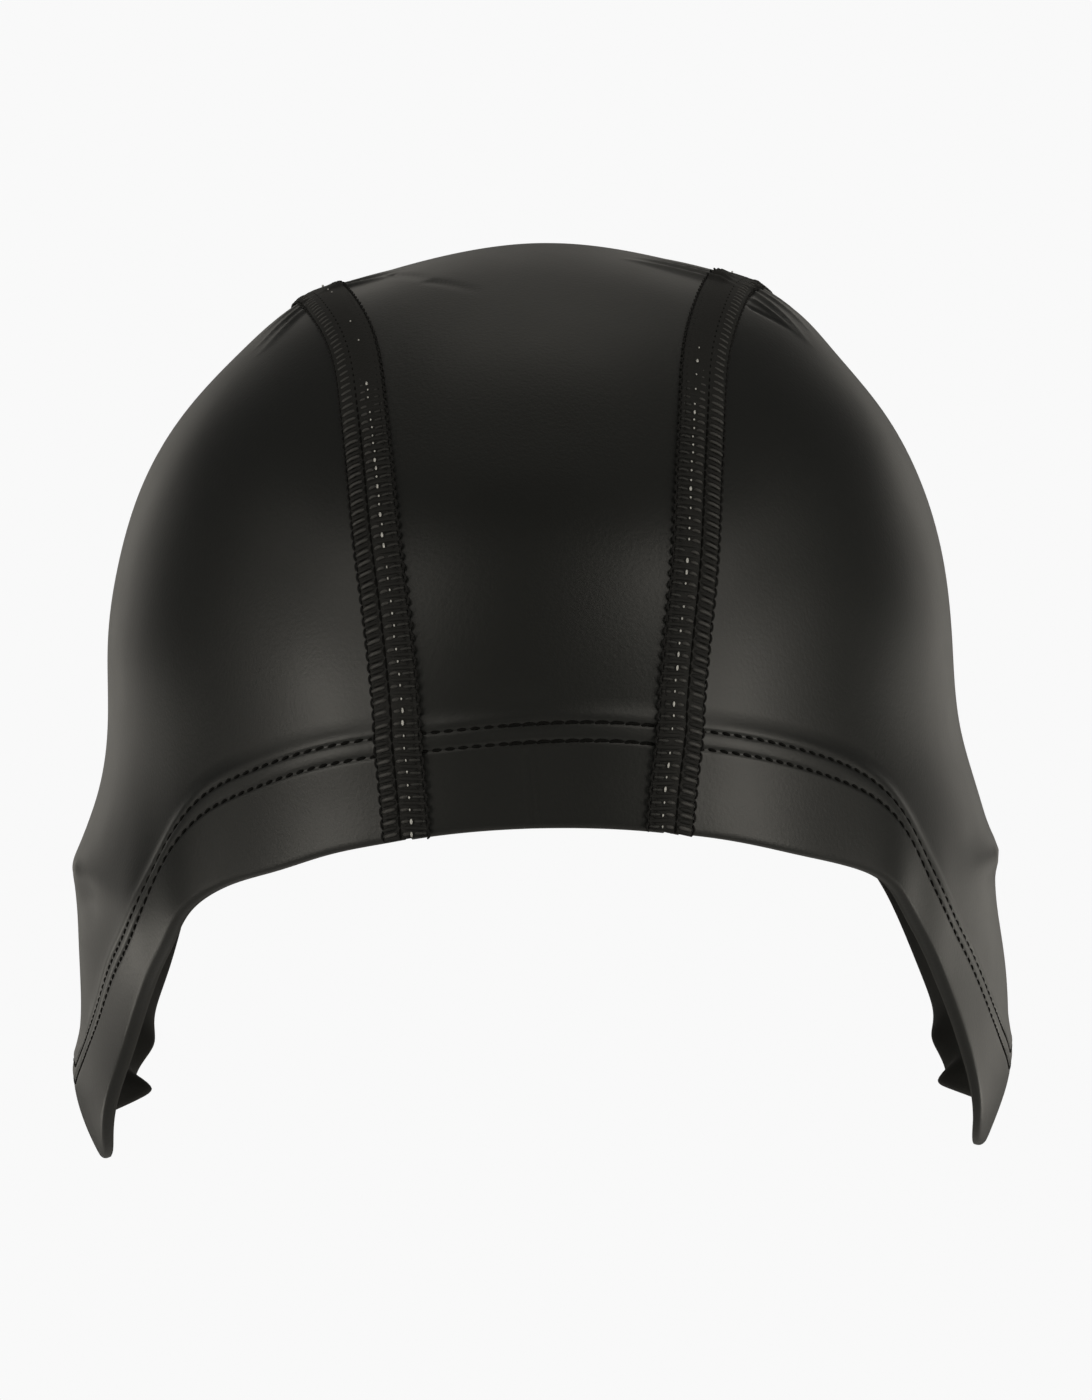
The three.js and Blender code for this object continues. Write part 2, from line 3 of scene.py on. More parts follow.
import bmesh
import bpy
import numpy as np
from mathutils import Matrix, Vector


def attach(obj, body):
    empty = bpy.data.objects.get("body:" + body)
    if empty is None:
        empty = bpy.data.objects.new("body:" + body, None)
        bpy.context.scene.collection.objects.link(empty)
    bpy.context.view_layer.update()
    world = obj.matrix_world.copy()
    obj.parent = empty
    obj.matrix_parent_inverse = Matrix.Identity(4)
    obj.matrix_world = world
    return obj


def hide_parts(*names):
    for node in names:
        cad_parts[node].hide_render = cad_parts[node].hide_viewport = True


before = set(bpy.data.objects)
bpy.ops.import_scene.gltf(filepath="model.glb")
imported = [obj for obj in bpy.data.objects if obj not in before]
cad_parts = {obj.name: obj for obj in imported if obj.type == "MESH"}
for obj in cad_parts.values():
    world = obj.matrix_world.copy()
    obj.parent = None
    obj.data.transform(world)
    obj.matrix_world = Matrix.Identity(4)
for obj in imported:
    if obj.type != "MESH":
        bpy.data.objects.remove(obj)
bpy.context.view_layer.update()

# Swim cap in its worn form. Shapes are worked out in millimetres in the part's frame: +X is the
# viewer's right, -Y the forehead, +Z up, and the origin is the head seat inside the crown. A place
# on the chart, (right, back), names a point of the form: its distance from the chart's middle
# gives the depth under the crown, and its direction the turn from the forehead.
MM = 0.001
FULL_DEPTH = 174.0
CROWN_LEAN = 1.8
CHART_SCALE = 175.0  # millimetres to a chart unit near the crown
CHART_STEP = 1e-4  # chart step that slopes are measured with

# Cloth and its folded hem.
CLOTH_THICKNESS = 1.3
HEM_THICKNESS = 3.0
HEM_STEP = 21.5  # from a seam's end to where the hem has thinned to one layer
HEM_ROUND = 1.1  # how far the folded lower edge rounds up
HEM_REACH = 25.3  # the hem and the cloth it pulls at
HEM_FADE = 3.0  # height over which its relief dies out at the top of its reach
HEADING_SPREAD = 18.0  # how far along the edge the hem's columns are evened out
COLUMN_PITCH = 0.5  # between the hem's columns
SEAM_SWING = 22.0  # length of edge over which the columns swing round to a seam
# How far the hem stands out at its upper stitches, by degrees of turn.
HEM_FLARE = ((0, 40, 50, 60, 72, 84, 98, 108, 130),
             (0.45, 0.6, 0.55, 0.22, 0.25, 0.45, 0.5, 0.6, 0.4))
# Where a side's fold is pressed thinner: the share it loses, the turn, and how far that spreads.
PRESSED_FOLD = {-1: (0.3, 90, 12), 1: (0.5, 85, 14)}

# The hem's two rows of stitches. They draw together over the flap: the gauge by degrees of turn.
NEEDLE_GAUGE = ((0, 42, 55, 66, 74, 95), (3.2, 3.1, 2.3, 2.2, 2.7, 3.2))
GROOVE_DEPTH = 0.28
GROOVE_WIDTH = 0.36
PUFF_WIDTH = 0.9
PUFF_BETWEEN = 0.10  # cloth that swells between the rows
PUFF_ABOVE = 0.12  # cloth that swells over the upper row
STITCH_PITCH = 2.3
STITCH_LENGTH = 1.9
STITCH_SLANT = 0.35
STITCH_SINK = 0.10
STITCH_DIP = 0.35  # how much deeper a stitch's ends lie
STITCH_RADIUS = 0.26
CENTRE_STITCHES = 19  # in each row across the centre panel
OVERLAP_FROM = -0.19  # where they start to run over each other, as a share of the way across
OVERLAP_SLANT = 0.7

# Flatlock seams: a cover of thread on each face, joined by a web between the cut edges.
SEAM_WIDTH = 8.4
SEAM_INSIDE_WIDTH = 6.2
SEAM_COVER = 0.55  # thickness of each cover
SEAM_WEB = 1.0
COVER_LIFT = 0.2  # from the form to the outer cover
COVER_TOP = COVER_LIFT + SEAM_COVER
COVER_SINK = 0.3  # from the cloth to the inner cover
PANEL_EDGE = 0.8  # from a seam's middle line to a panel's cut edge
SEAM_TURN = 20.0  # degrees of turn where a seam meets the front edge
SEAM_TENT = 0.3  # how far a seam lifts the cloth beside it
SEAM_TENT_WIDTH = 5.5
RUNG_PITCH = 2.15  # between a seam's stitches

# Meshes.
SIDE_MIDDLE = (0.6, 0.02)  # chart place inside a side panel, mirrored for the left one
RING_HALVINGS = (0.5, 0.27, 0.14, 0.07)  # reaches below which a panel's rings keep half the points
EDGE_STATIONS = 432
SEAM_POINTS = 304
CENTRE_COLUMNS = 97
CENTRE_ROWS = 216
BAND_SECTIONS = 420
CREASED_BACK = -0.07  # chart place of the creases along a seam
CREASED_SPREAD = 16.0
CREASED_EXTRA = 2.2  # how many more points lie there
THREAD_SIDES = 6
THREAD_FLAT = 0.8
WELD = 2e-6  # metres
NOWHERE = np.array([])  # no distances at all


def table(columns, rows):
    """A table by column name: each column is the array of its values down the rows."""
    return dict(zip(columns.split(), np.array(rows, dtype=float).T))


# Level sections of the form, as in the CAD part.
SECTIONS = table("depth half_width front back square egg lean", [
    (2.5, 20.2, 21.0, 20.0, 0.0, 0.02, 1.6),
    (10, 42.8, 44.0, 42.0, 0.01, 0.03, 0.8),
    (20, 55.1, 62.5, 59.0, 0.02, 0.04, 0.2),
    (32, 65.6, 77.5, 72.5, 0.03, 0.05, -0.3),
    (45, 72.8, 90.5, 82.5, 0.035, 0.06, -0.7),
    (60, 77.2, 99.0, 89.5, 0.04, 0.07, -0.9),
    (75, 79.0, 103.5, 93.0, 0.04, 0.08, -1.1),
    (92, 79.9, 105.5, 93.5, 0.04, 0.09, -0.3),
    (106, 82.9, 106.0, 90.0, 0.04, 0.12, 0.4),
    (118, 85.6, 106.0, 85.0, 0.04, 0.15, -0.1),
    (132, 85.7, 105.0, 80.0, 0.04, 0.17, 0.9),
    (146, 86.3, 103.5, 76.0, 0.04, 0.18, 1.6),
    (158, 86.3, 102.0, 72.0, 0.04, 0.18, 1.0),
    (166, 83.8, 100.0, 68.0, 0.04, 0.18, 0.6),
    (174, 80.1, 98.0, 64.0, 0.04, 0.18, 1.0),
])

# Lower edge by degrees of turn from the forehead to the nape; `hem` is the hem's width there.
LOWER_EDGE = table("turn depth right_extra hem", [
    (0, 99.2, 0, 18.5),
    (10, 99.8, -0.1, 18.5),
    (21, 102.3, -1.5, 18.5),
    (30, 105.0, -2.0, 18.5),
    (38, 108.6, -2.8, 18.2),
    (45.5, 112.2, -3.6, 16.8),
    (51, 117.4, -5.4, 14.4),
    (56, 124.2, -6.2, 11.9),
    (62, 131.8, -4.8, 10.9),
    (68, 141.2, -2.8, 13.8),
    (73, 152.4, -1.6, 17.8),
    (78, 162.0, -1.6, 20.9),
    (84, 168.4, -2.2, 22.0),
    (92, 170.8, -2.6, 19.8),
    (97.5, 170.4, -2.6, 17.0),
    (103, 168.4, -2.6, 14.9),
    (110, 167.0, -2.8, 12.8),
    (116.5, 166.9, -2.2, 12.2),
    (120, 164.2, -1.2, 12.2),
    (123, 159.4, -0.8, 12.6),
    (129.5, 148.8, -0.4, 14.2),
    (134, 135.0, 0, 15.8),
    (138, 124.8, 0, 17.2),
    (143.5, 118.2, 0, 17.4),
    (151, 114.0, 0, 17.8),
    (162, 110.8, 0, 18.3),
    (180, 109.0, 0, 18.5),
])

# Seam lines on the flat chart of the form.
SEAM_LINES = table("back left right", [
    (-0.8, 0.245, 0.235),
    (-0.72, 0.236, 0.2365),
    (-0.65, 0.2155, 0.2405),
    (-0.575, 0.2065, 0.23),
    (-0.5, 0.2045, 0.2185),
    (-0.42, 0.2015, 0.205),
    (-0.33, 0.202, 0.194),
    (-0.22, 0.2055, 0.1855),
    (-0.1, 0.2215, 0.192),
    (0.03, 0.236, 0.212),
    (0.2, 0.238, 0.226),
    (0.4, 0.23, 0.226),
    (0.6, 0.224, 0.224),
    (0.85, 0.226, 0.226),
])

# Soft folds by turn and depth: how far each spreads and how far it stands out. The side is -1 for
# the viewer's left, 1 for the right and 0 for both.
FOLDS = table("side turn depth wide tall out", [
    (-1, 115.5, 167, 4.0, 8, -7.8),  # curled corner behind the ear
    (1, 115.5, 165, 4.0, 8, -6.2),
    (0, 124.5, 157.5, 5, 8, -5.0),  # wave of the hem above it
    (0, 63, 118, 5, 12, 0.5),  # cloth in front of the ear
    (0, 96, 150, 12, 9, -0.8),  # hollow under the ear
    (-1, 90, 116.2, 10, 3.2, 1.0),  # top of the ear
    (-1, 82, 121.0, 7, 3.8, -0.8),  # dimple below it
    (-1, 98, 125, 10, 6, -0.5),
    (1, 89, 113.6, 9, 3.8, 1.7),
    (1, 95, 124, 12, 7, -0.7),
    (0, 52, 113, 6, 13, 1.6),  # fold up the temple
    (1, 95, 13, 30, 7, 0.6),  # shoulders of the crown
    (-1, 95, 6, 25, 4, -0.5),
])

# Stretch creases in the cloth, on the chart: each starts at full height and dies out at its end.
CREASES = table("right back end_right end_back wide tall", [
    (0.185, -0.088, 0.085, -0.078, 1.1, 0.75),
    (0.185, -0.066, 0.100, -0.052, 1.0, 0.80),
    (0.185, -0.040, 0.110, -0.030, 1.2, 0.60),
    (0.185, -0.010, 0.120, -0.006, 1.3, 0.40),
    (-0.212, -0.058, -0.155, -0.082, 1.1, 0.75),
    (-0.212, -0.036, -0.150, -0.050, 1.0, 0.70),
    (-0.212, -0.008, -0.150, -0.016, 1.3, 0.40),
    (-0.252, -0.086, -0.315, -0.118, 1.2, 0.50),
    (-0.250, -0.060, -0.320, -0.084, 1.1, 0.50),
    (-0.250, -0.030, -0.310, -0.040, 1.3, 0.40),
    (0.222, -0.066, 0.305, -0.108, 1.2, 0.55),
    (0.222, -0.098, 0.285, -0.112, 0.9, 0.45),
    (0.222, -0.126, 0.275, -0.116, 0.8, -0.30),
    (0.222, -0.036, 0.300, -0.060, 1.2, 0.50),
    (0.222, -0.006, 0.290, -0.016, 1.3, 0.40),
    (-0.160, -0.070, -0.1175, -0.145, 0.9, -0.40),
    (-0.1175, -0.145, -0.060, -0.205, 0.9, -0.32),
])


# Curves and waves.
def unit(v):
    """Vectors over their own length."""
    return v / np.maximum(np.linalg.norm(v, axis=-1, keepdims=True), 1e-12)


def bell(x, width):
    """Bell of height one: e to the power of minus the square of x over its width."""
    return np.exp(-((x / width) ** 2))


def smooth_step(x):
    """0 up to x = 0 and 1 from x = 1, by the cubic 3 x squared less 2 x cubed between them."""
    x = np.clip(x, 0, 1)
    return x * x * (3 - 2 * x)


def ripple(along, seed):
    """Slow uneven wave along a length: three sines whose lengths don't match."""
    return (np.sin(along / 7.3 + seed) + 0.7 * np.sin(along / 4.1 + 2.3 * seed)
            + 0.5 * np.sin(along / 2.3 + 4.1 * seed)) / 2.2


def towards_ends(t):
    """0 in the middle of a thread and 1 at both its ends, as a parabola."""
    return (2 * t - 1) ** 2


def crowded(low, high, count, middle, spread, extra):
    """Even steps from low to high, except that they crowd round a middle: the inverse of the
    running sum of a density of one plus a bell."""
    fine = np.linspace(low, high, 2001)
    density = 1 + extra * bell(fine - middle, spread)
    run = np.concatenate([[0.0], np.cumsum((density[1:] + density[:-1]) / 2)])
    return np.interp(np.linspace(0, run[-1], count), run, fine)


def evened(values, spread):
    """Rows of values smoothed down the rows: each is a mean of its neighbours weighted by a bell,
    and the end rows stand in beyond the ends."""
    reach = int(3 * spread)
    weights = bell(np.arange(-reach, reach + 1), 1.41 * spread)
    weights /= weights.sum()
    before, after = np.repeat(values[:1], reach, 0), np.repeat(values[-1:], reach, 0)
    padded = np.concatenate([before, values, after])
    return np.stack([np.convolve(column, weights, "valid") for column in padded.T], -1)


def across_weights(across):
    """Shares of the left, middle and right value at -1, 0 and 1 in the parabola through them."""
    return np.stack([across * (across - 1) / 2, 1 - across**2, across * (across + 1) / 2])


def spline_through(xs, ys):
    """Natural cubic spline: the second slopes solve the usual three-term equations, and each span
    is a weighted mean of its ends plus a cubic part for the bend."""
    xs, ys = np.asarray(xs, float), np.asarray(ys, float)
    count, gap = len(xs), np.diff(xs)
    matrix, right_side = np.eye(count), np.zeros(count)
    inner = np.arange(1, count - 1)
    matrix[inner, inner - 1] = gap[:-1]
    matrix[inner, inner] = 2 * (gap[:-1] + gap[1:])
    matrix[inner, inner + 1] = gap[1:]
    right_side[inner] = 6 * np.diff(np.diff(ys) / gap)
    bend = np.linalg.solve(matrix, right_side)

    def value(x):
        x = np.asarray(x, float)
        i = np.clip(np.searchsorted(xs, x) - 1, 0, count - 2)
        p = (xs[i + 1] - x) / gap[i]
        q = 1 - p
        curve = (p**3 - p) * bend[i] + (q**3 - q) * bend[i + 1]
        return p * ys[i] + q * ys[i + 1] + curve * gap[i] ** 2 / 6

    return value


def across_crown(values, at_crown, sign):
    """A section column over the chart's reach, continued through the crown so that it is smooth
    there: sizes change sign across it, shapes don't."""
    reach = np.sqrt(SECTIONS["depth"] / FULL_DEPTH)
    xs = np.concatenate([-reach[::-1], [0.0], reach])
    ys = np.concatenate([sign * values[::-1], [at_crown], values])
    return spline_through(xs, ys)


# The form.
half_width = across_crown(SECTIONS["half_width"], 0.0, -1)
half_length = across_crown((SECTIONS["front"] + SECTIONS["back"]) / 2, 0.0, -1)
middle_back = across_crown((SECTIONS["back"] - SECTIONS["front"]) / 2, 0.0, 1)
squareness = across_crown(SECTIONS["square"], 0.0, 1)
egg_shape = across_crown(SECTIONS["egg"], 0.02, 1)
crown_lean = across_crown(SECTIONS["lean"], CROWN_LEAN, 1)


def form_point(right, back):
    """Point of the smooth form at a chart place: the distance from the chart's middle gives the
    level, and the direction gives the point on that level's egg-shaped section."""
    reach = np.hypot(right, back)
    safe = np.maximum(reach, 1e-9)
    cosine, sine = right / safe, back / safe
    bulge = 1 + squareness(reach) * 4 * (cosine * sine) ** 2
    x = crown_lean(reach) + half_width(reach) * cosine * bulge * (1 + egg_shape(reach) * sine)
    y = middle_back(reach) + half_length(reach) * sine * bulge
    return np.stack([x, y, CLOTH_THICKNESS - FULL_DEPTH * reach**2], -1)


def form_slopes(right, back):
    """How the form's point moves per unit of the chart, each way, and the outward normal."""
    here = form_point(right, back)
    to_right = (form_point(right + CHART_STEP, back) - here) / CHART_STEP
    to_back = (form_point(right, back + CHART_STEP) - here) / CHART_STEP
    return to_right, to_back, unit(np.cross(to_right, to_back))


def turn_and_depth(right, back):
    """Degrees of turn from the forehead, and the depth: the full depth times the square of the
    distance from the chart's middle."""
    return np.degrees(np.arctan2(np.abs(right), -back)), FULL_DEPTH * (right**2 + back**2)


def fold_height(right, back):
    """Height of the soft folds: each is a bell over turn and depth, on the side it belongs to."""
    turn, depth = turn_and_depth(right, back)
    across = (turn[..., None] - FOLDS["turn"]) / FOLDS["wide"]
    down = (depth[..., None] - FOLDS["depth"]) / FOLDS["tall"]
    here = FOLDS["side"] * np.sign(right)[..., None] >= 0
    return (here * FOLDS["out"] * np.exp(-(across**2) - down**2)).sum(-1)


def crease_height(right, back):
    """Height of the stretch creases: a bell over the distance from each one's line, times one less
    the square of the share of the way along it."""
    height = np.zeros_like(right)
    for start_right, start_back, end_right, end_back, wide, tall in zip(*CREASES.values()):
        run_right, run_back = end_right - start_right, end_back - start_back
        from_right, from_back = right - start_right, back - start_back
        along = (from_right * run_right + from_back * run_back) / (run_right**2 + run_back**2)
        held = np.clip(along, 0, 1)
        away = np.hypot(from_right - held * run_right, from_back - held * run_back)
        height += tall * bell(away * CHART_SCALE, wide) * (1 - held**2)
    return height


def tent_height(right, back):
    """Lift of the cloth beside the seams: a bell over the distance from the nearer seam."""
    height = np.zeros_like(right)
    for side in (-1, 1):
        line = seam_aside[side](np.clip(back, SEAM_LINES["back"][0], SEAM_LINES["back"][-1]))
        height += SEAM_TENT * bell((side * right - line) * CHART_SCALE, SEAM_TENT_WIDTH)
    return height


def step_across(right, back, direction, length):
    """The chart place reached by a step over the form: the chart step whose image is nearest."""
    to_right, to_back, _ = form_slopes(right, back)
    rr, rb = (to_right**2).sum(-1), (to_right * to_back).sum(-1)
    bb = (to_back**2).sum(-1)
    r, b = (to_right * direction).sum(-1) * length, (to_back * direction).sum(-1) * length
    det = rr * bb - rb**2
    return right + (r * bb - b * rb) / det, back + (b * rr - r * rb) / det


# Lower edge of one side, by share of the way from the forehead to the nape. A degree of turn
# counts as about 1.5 mm.
edge_run = np.concatenate([[0.0], np.cumsum(np.hypot(
    np.diff(LOWER_EDGE["turn"]) * 1.5, np.diff(LOWER_EDGE["depth"])))])
edge_run /= edge_run[-1]
edge_turn = spline_through(edge_run, LOWER_EDGE["turn"])
edge_depth = spline_through(edge_run, LOWER_EDGE["depth"])
edge_extra = spline_through(edge_run, LOWER_EDGE["right_extra"])
edge_hem = spline_through(edge_run, LOWER_EDGE["hem"])
seam_aside = {
    -1: spline_through(SEAM_LINES["back"], SEAM_LINES["left"]),
    1: spline_through(SEAM_LINES["back"], SEAM_LINES["right"]),
}
fine_share = np.linspace(0, 1, 4001)


def edge_place(side, share):
    """Chart place on one side's lower edge: the reach is the square root of its depth's share of
    the full depth, in the direction of its turn."""
    turn = np.radians(edge_turn(share))
    depth = edge_depth(share) + (edge_extra(share) if side > 0 else 0)
    reach = np.sqrt(depth / FULL_DEPTH)
    return side * reach * np.sin(turn), -reach * np.cos(turn)


def share_at_turn(turn):
    """The edge's share at a turn, read off its own turns from the nearest two."""
    return np.interp(turn, edge_turn(fine_share), fine_share)


def beside_seam(side, back, aside):
    """Chart place that lies `aside` from a seam's middle line, outwards from the centre panel: a
    step square to the line and along the form."""
    back = np.asarray(back, float)
    right, next_back = side * seam_aside[side](back), back + CHART_STEP
    ahead = form_point(side * seam_aside[side](next_back), next_back) - form_point(right, back)
    across = unit(np.cross(ahead, form_slopes(right, back)[2]))
    return step_across(right, back, across, side * np.asarray(aside, float))


def seam_ends(side, aside):
    """Chart `back` values where a line beside a seam crosses the lower edge, front and rear, by
    halving the span that holds the crossing."""
    ends = []
    for inner, outer in ((-0.5, -0.8), (0.5, 0.85)):
        for _ in range(40):
            middle = (inner + outer) / 2
            right, back = beside_seam(side, middle, aside)
            turn, depth = turn_and_depth(right, back)
            edge = turn_and_depth(*edge_place(side, share_at_turn(turn)))[1]
            inner, outer = (middle, outer) if depth < edge else (inner, middle)
        ends.append(inner)
    return ends


def measured(line):
    """A line of chart places by share, measured along the form: its length, and the share at
    each distance."""
    points = form_point(*line(fine_share))
    run = np.concatenate([[0.0], np.cumsum(np.linalg.norm(np.diff(points, axis=0), axis=1))])
    return run[-1], lambda distance: np.interp(distance, run, fine_share)


def seam_line(side):
    """A seam's middle line: its length, and the chart `back` value at a distance from the front
    edge."""
    front, rear = seam_ends(side, 0.0)
    length, share_at = measured(lambda s: beside_seam(side, front + (rear - front) * s, 0.0))
    return length, lambda distance: front + (rear - front) * share_at(distance)


seams = {side: seam_line(side) for side in (-1, 1)}


def hem_field(side, stations):
    """Chart places over one side's hem: rows are stations along the edge from the front seam to
    the rear one, columns go up over the form in even steps. They start at right angles to the
    edge, evened out along it so that they don't meet inside the flap. Near the seams they swing
    round to run beside them."""
    front, rear = (share_at_turn(turn_and_depth(*beside_seam(side, back, PANEL_EDGE))[0])
                   for back in seam_ends(side, PANEL_EDGE))
    length, share_at = measured(lambda s: edge_place(side, front + (rear - front) * s))
    share = front + (rear - front) * share_at(stations * length)
    right, back = edge_place(side, share)
    ahead = form_point(*edge_place(side, share + CHART_STEP)) - form_point(right, back)
    heading = side * unit(np.cross(form_slopes(right, back)[2], ahead))
    heading = evened(heading, HEADING_SPREAD / (stations[1] * length))
    heights = np.arange(0, HEM_REACH + 1.2 * COLUMN_PITCH, COLUMN_PITCH)
    rights, backs = [right], [back]
    for _ in heights[1:]:
        normal = form_slopes(right, back)[2]
        heading = unit(heading - (heading * normal).sum(-1, keepdims=True) * normal)
        right, back = step_across(right, back, heading, COLUMN_PITCH)
        rights.append(right)
        backs.append(back)
    rights, backs = np.stack(rights, -1), np.stack(backs, -1)
    seam_length, back_at = seams[side]
    for end, distance in ((0, heights), (-1, seam_length - heights)):
        near = np.abs(stations - stations[end]) * length / SEAM_SWING
        weight = np.clip(1 - near, 0, 1) ** 2
        aim_right, aim_back = beside_seam(side, back_at(distance), PANEL_EDGE)
        rights += weight[:, None] * (aim_right - rights[end])
        backs += weight[:, None] * (aim_back - backs[end])
    return {"length": length, "stations": stations, "heights": heights, "right": rights,
            "back": backs, "hem": edge_hem(share), "turn": edge_turn(share), "share": share}


def between_columns(field, row, height):
    """Chart place in a hem field at a fractional row and a height above the edge, by straight
    blending of the four nearest entries."""
    row = np.clip(row, 0, len(field["stations"]) - 1.001)
    column = np.clip(height / COLUMN_PITCH, 0, len(field["heights"]) - 1.001)
    i, j = row.astype(int), column.astype(int)
    u, v = row - i, column - j
    out = []
    for values in (field["right"], field["back"]):
        low = values[i, j] * (1 - u) + values[i + 1, j] * u
        high = values[i, j + 1] * (1 - u) + values[i + 1, j + 1] * u
        out.append(low * (1 - v) + high * v)
    return out


def hem_flare(height, hem, turn):
    """How far the folded hem stands out: full at its upper stitches, gone by a smooth step a few
    millimetres above them, and by a bell turned in a little at the edge."""
    upper = height - hem
    above = smooth_step(1 - upper / np.interp(turn, (60, 95), (4.5, 7.0)))
    above = above * smooth_step((HEM_REACH - height) / HEM_FADE)
    below = -0.4 + 1.4 * bell(np.minimum(upper, 0), 7.0)
    return np.interp(turn, *HEM_FLARE) * above * below


def hem_relief(height, along, hem, turn, seed):
    """Height of the hem's outer face over the form: the hem's flare, less a bell for each of two
    stitched grooves a needle gauge apart, plus rippled bells where the cloth puffs between and
    above them."""
    gauge = np.interp(turn, *NEEDLE_GAUGE)
    upper, lower = height - hem, height - hem + gauge
    grooves = -GROOVE_DEPTH * (bell(upper, GROOVE_WIDTH) + bell(lower, GROOVE_WIDTH))
    puff = PUFF_BETWEEN * bell(upper + gauge / 2, PUFF_WIDTH) * (1 + 0.5 * ripple(along, seed))
    ridge = PUFF_ABOVE * bell(upper - 1.3, PUFF_WIDTH) * (1 + 0.5 * ripple(along, seed + 1.7))
    fade = smooth_step((HEM_REACH - height) / HEM_FADE)
    return hem_flare(height, hem, turn) + (grooves + puff + ridge) * fade


def cloth_point(right, back, out=0.0):
    """Point of the cap's outer face with its folds, moved out along the normal, in millimetres."""
    normal = form_slopes(right, back)[2]
    lift = fold_height(right, back) + crease_height(right, back) + tent_height(right, back) + out
    return form_point(right, back) + normal * lift[..., None]


def hem_section(hem):
    """Section across the folded hem, a row for each station: from the top of its reach down the
    outer face, round the edge in a squarish half turn and up the inner face to the raw edge, over
    it on a small quarter turn and up the single layer. Its points lie closest across the stitches.
    Gives heights, and shares of the hem's thickness."""
    outer = np.concatenate([np.linspace(HEM_REACH, 23.8, 4), np.linspace(23.5, 6.2, 74),
                            np.linspace(5.6, 1.4, 6)])
    angle = np.linspace(0.08, 0.92, 13) * np.pi
    inner = np.linspace(1.4, 9.0, 8)
    fold = (1 - np.cos(angle)) / 2
    fold_up = HEM_ROUND * (1 - (1 - np.abs(2 * fold - 1) ** 2.5) ** 0.4)
    height = np.concatenate([outer, fold_up, inner])
    share = np.concatenate([0 * outer, fold, 1 + 0 * inner])
    thin = CLOTH_THICKNESS / HEM_THICKNESS
    raw_up = np.array([-1.0, 0.0, 0.35, 0.5, 0.6, 1.6])
    raw_in = np.array([1, 1, 0.93, 0.75, 0.55, thin])
    rows = len(hem)
    height = np.concatenate([np.tile(height, (rows, 1)), (hem + 0.8)[:, None] + raw_up,
                             np.full((rows, 1), HEM_REACH)], 1)
    share = np.concatenate([np.tile(share, (rows, 1)), np.tile(raw_in, (rows, 1)),
                            np.full((rows, 1), thin)], 1)
    return height, share


# Meshes.
def grid_faces(rows, columns):
    """Quads between neighbouring entries of a grid of points, row by row."""
    index = np.arange(rows * columns).reshape(rows, columns)
    corners = [index[:-1, :-1], index[:-1, 1:], index[1:, 1:], index[1:, :-1]]
    return np.stack(corners, -1).reshape(-1, 4).tolist()


def grid_patch(points, inside, end_rows=False):
    """A grid of points as a patch; `end_rows` closes its first and last rows with flat caps."""
    rows, columns = points.shape[:2]
    faces = grid_faces(rows, columns)
    if end_rows:
        faces += [list(range(columns)), list(range((rows - 1) * columns, rows * columns))]
    return points.reshape(-1, 3), faces, np.broadcast_to(inside, (rows, columns)).reshape(-1)


def join_rings(wide, narrow):
    """Faces between two closed rings of points; the inner one may have half as many."""
    after = np.roll(narrow, -1)
    if len(wide) == len(narrow):
        return np.stack([wide, np.roll(wide, -1), after, narrow], -1).tolist()
    first, second, third = wide[0::2], wide[1::2], np.roll(wide[0::2], -1)
    triangles = ([first, second, narrow], [second, after, narrow], [second, third, after])
    return np.concatenate([np.stack(corners, -1) for corners in triangles]).tolist()


def disc_patch(rim_right, rim_back, middle, reaches, out, inside):
    """A panel's face inside its rim: each ring is the rim drawn towards the middle place on the
    chart. Rings keep half the points of the last one as they crowd, and a fan closes the middle."""
    points, faces, count, ring = [], [], 0, None
    for reach in reaches:
        stride = int(2 ** sum(reach < limit for limit in RING_HALVINGS))
        right = middle[0] + (rim_right[::stride] - middle[0]) * reach
        back = middle[1] + (rim_back[::stride] - middle[1]) * reach
        points.append(cloth_point(right, back, out))
        index = count + np.arange(len(right))
        if ring is not None:
            faces += join_rings(ring, index)
        ring, count = index, count + len(right)
    points.append(cloth_point(np.array([middle[0]]), np.array([middle[1]]), out))
    faces += np.stack([ring, np.roll(ring, -1), np.full(len(ring), count)], -1).tolist()
    return np.concatenate(points), faces, np.full(count + 1, inside)


def cut_wall(right, back):
    """The panel's cut edge along a line of chart places: a strip as deep as the cloth."""
    depth = np.array([0.0, -CLOTH_THICKNESS])[:, None] + 0 * right
    return grid_patch(cloth_point(np.tile(right, (2, 1)), np.tile(back, (2, 1)), depth), 1.0)


def add_piece(name, patches, material, cad_node):
    """One closed mesh from patches whose borders meet point for point: the borders are welded and
    the faces turned outwards. The attribute `inside` is 1 on the faces towards the head."""
    points = np.concatenate([p for p, _, _ in patches]) * MM
    starts = np.cumsum([0] + [len(p) for p, _, _ in patches])
    faces = [[start + v for v in face]
             for start, (_, group, _) in zip(starts, patches) for face in group]
    mesh = bpy.data.meshes.new(name)
    mesh.from_pydata(points.tolist(), [], faces)
    layer = mesh.attributes.new("inside", "FLOAT", "POINT")
    layer.data.foreach_set("value", np.concatenate([m for _, _, m in patches]).astype(np.float32))
    work = bmesh.new()
    work.from_mesh(mesh)
    bmesh.ops.remove_doubles(work, verts=work.verts, dist=WELD)
    bmesh.ops.recalc_face_normals(work, faces=work.faces)
    work.to_mesh(mesh)
    work.free()
    return finish_piece(mesh, material, cad_node)


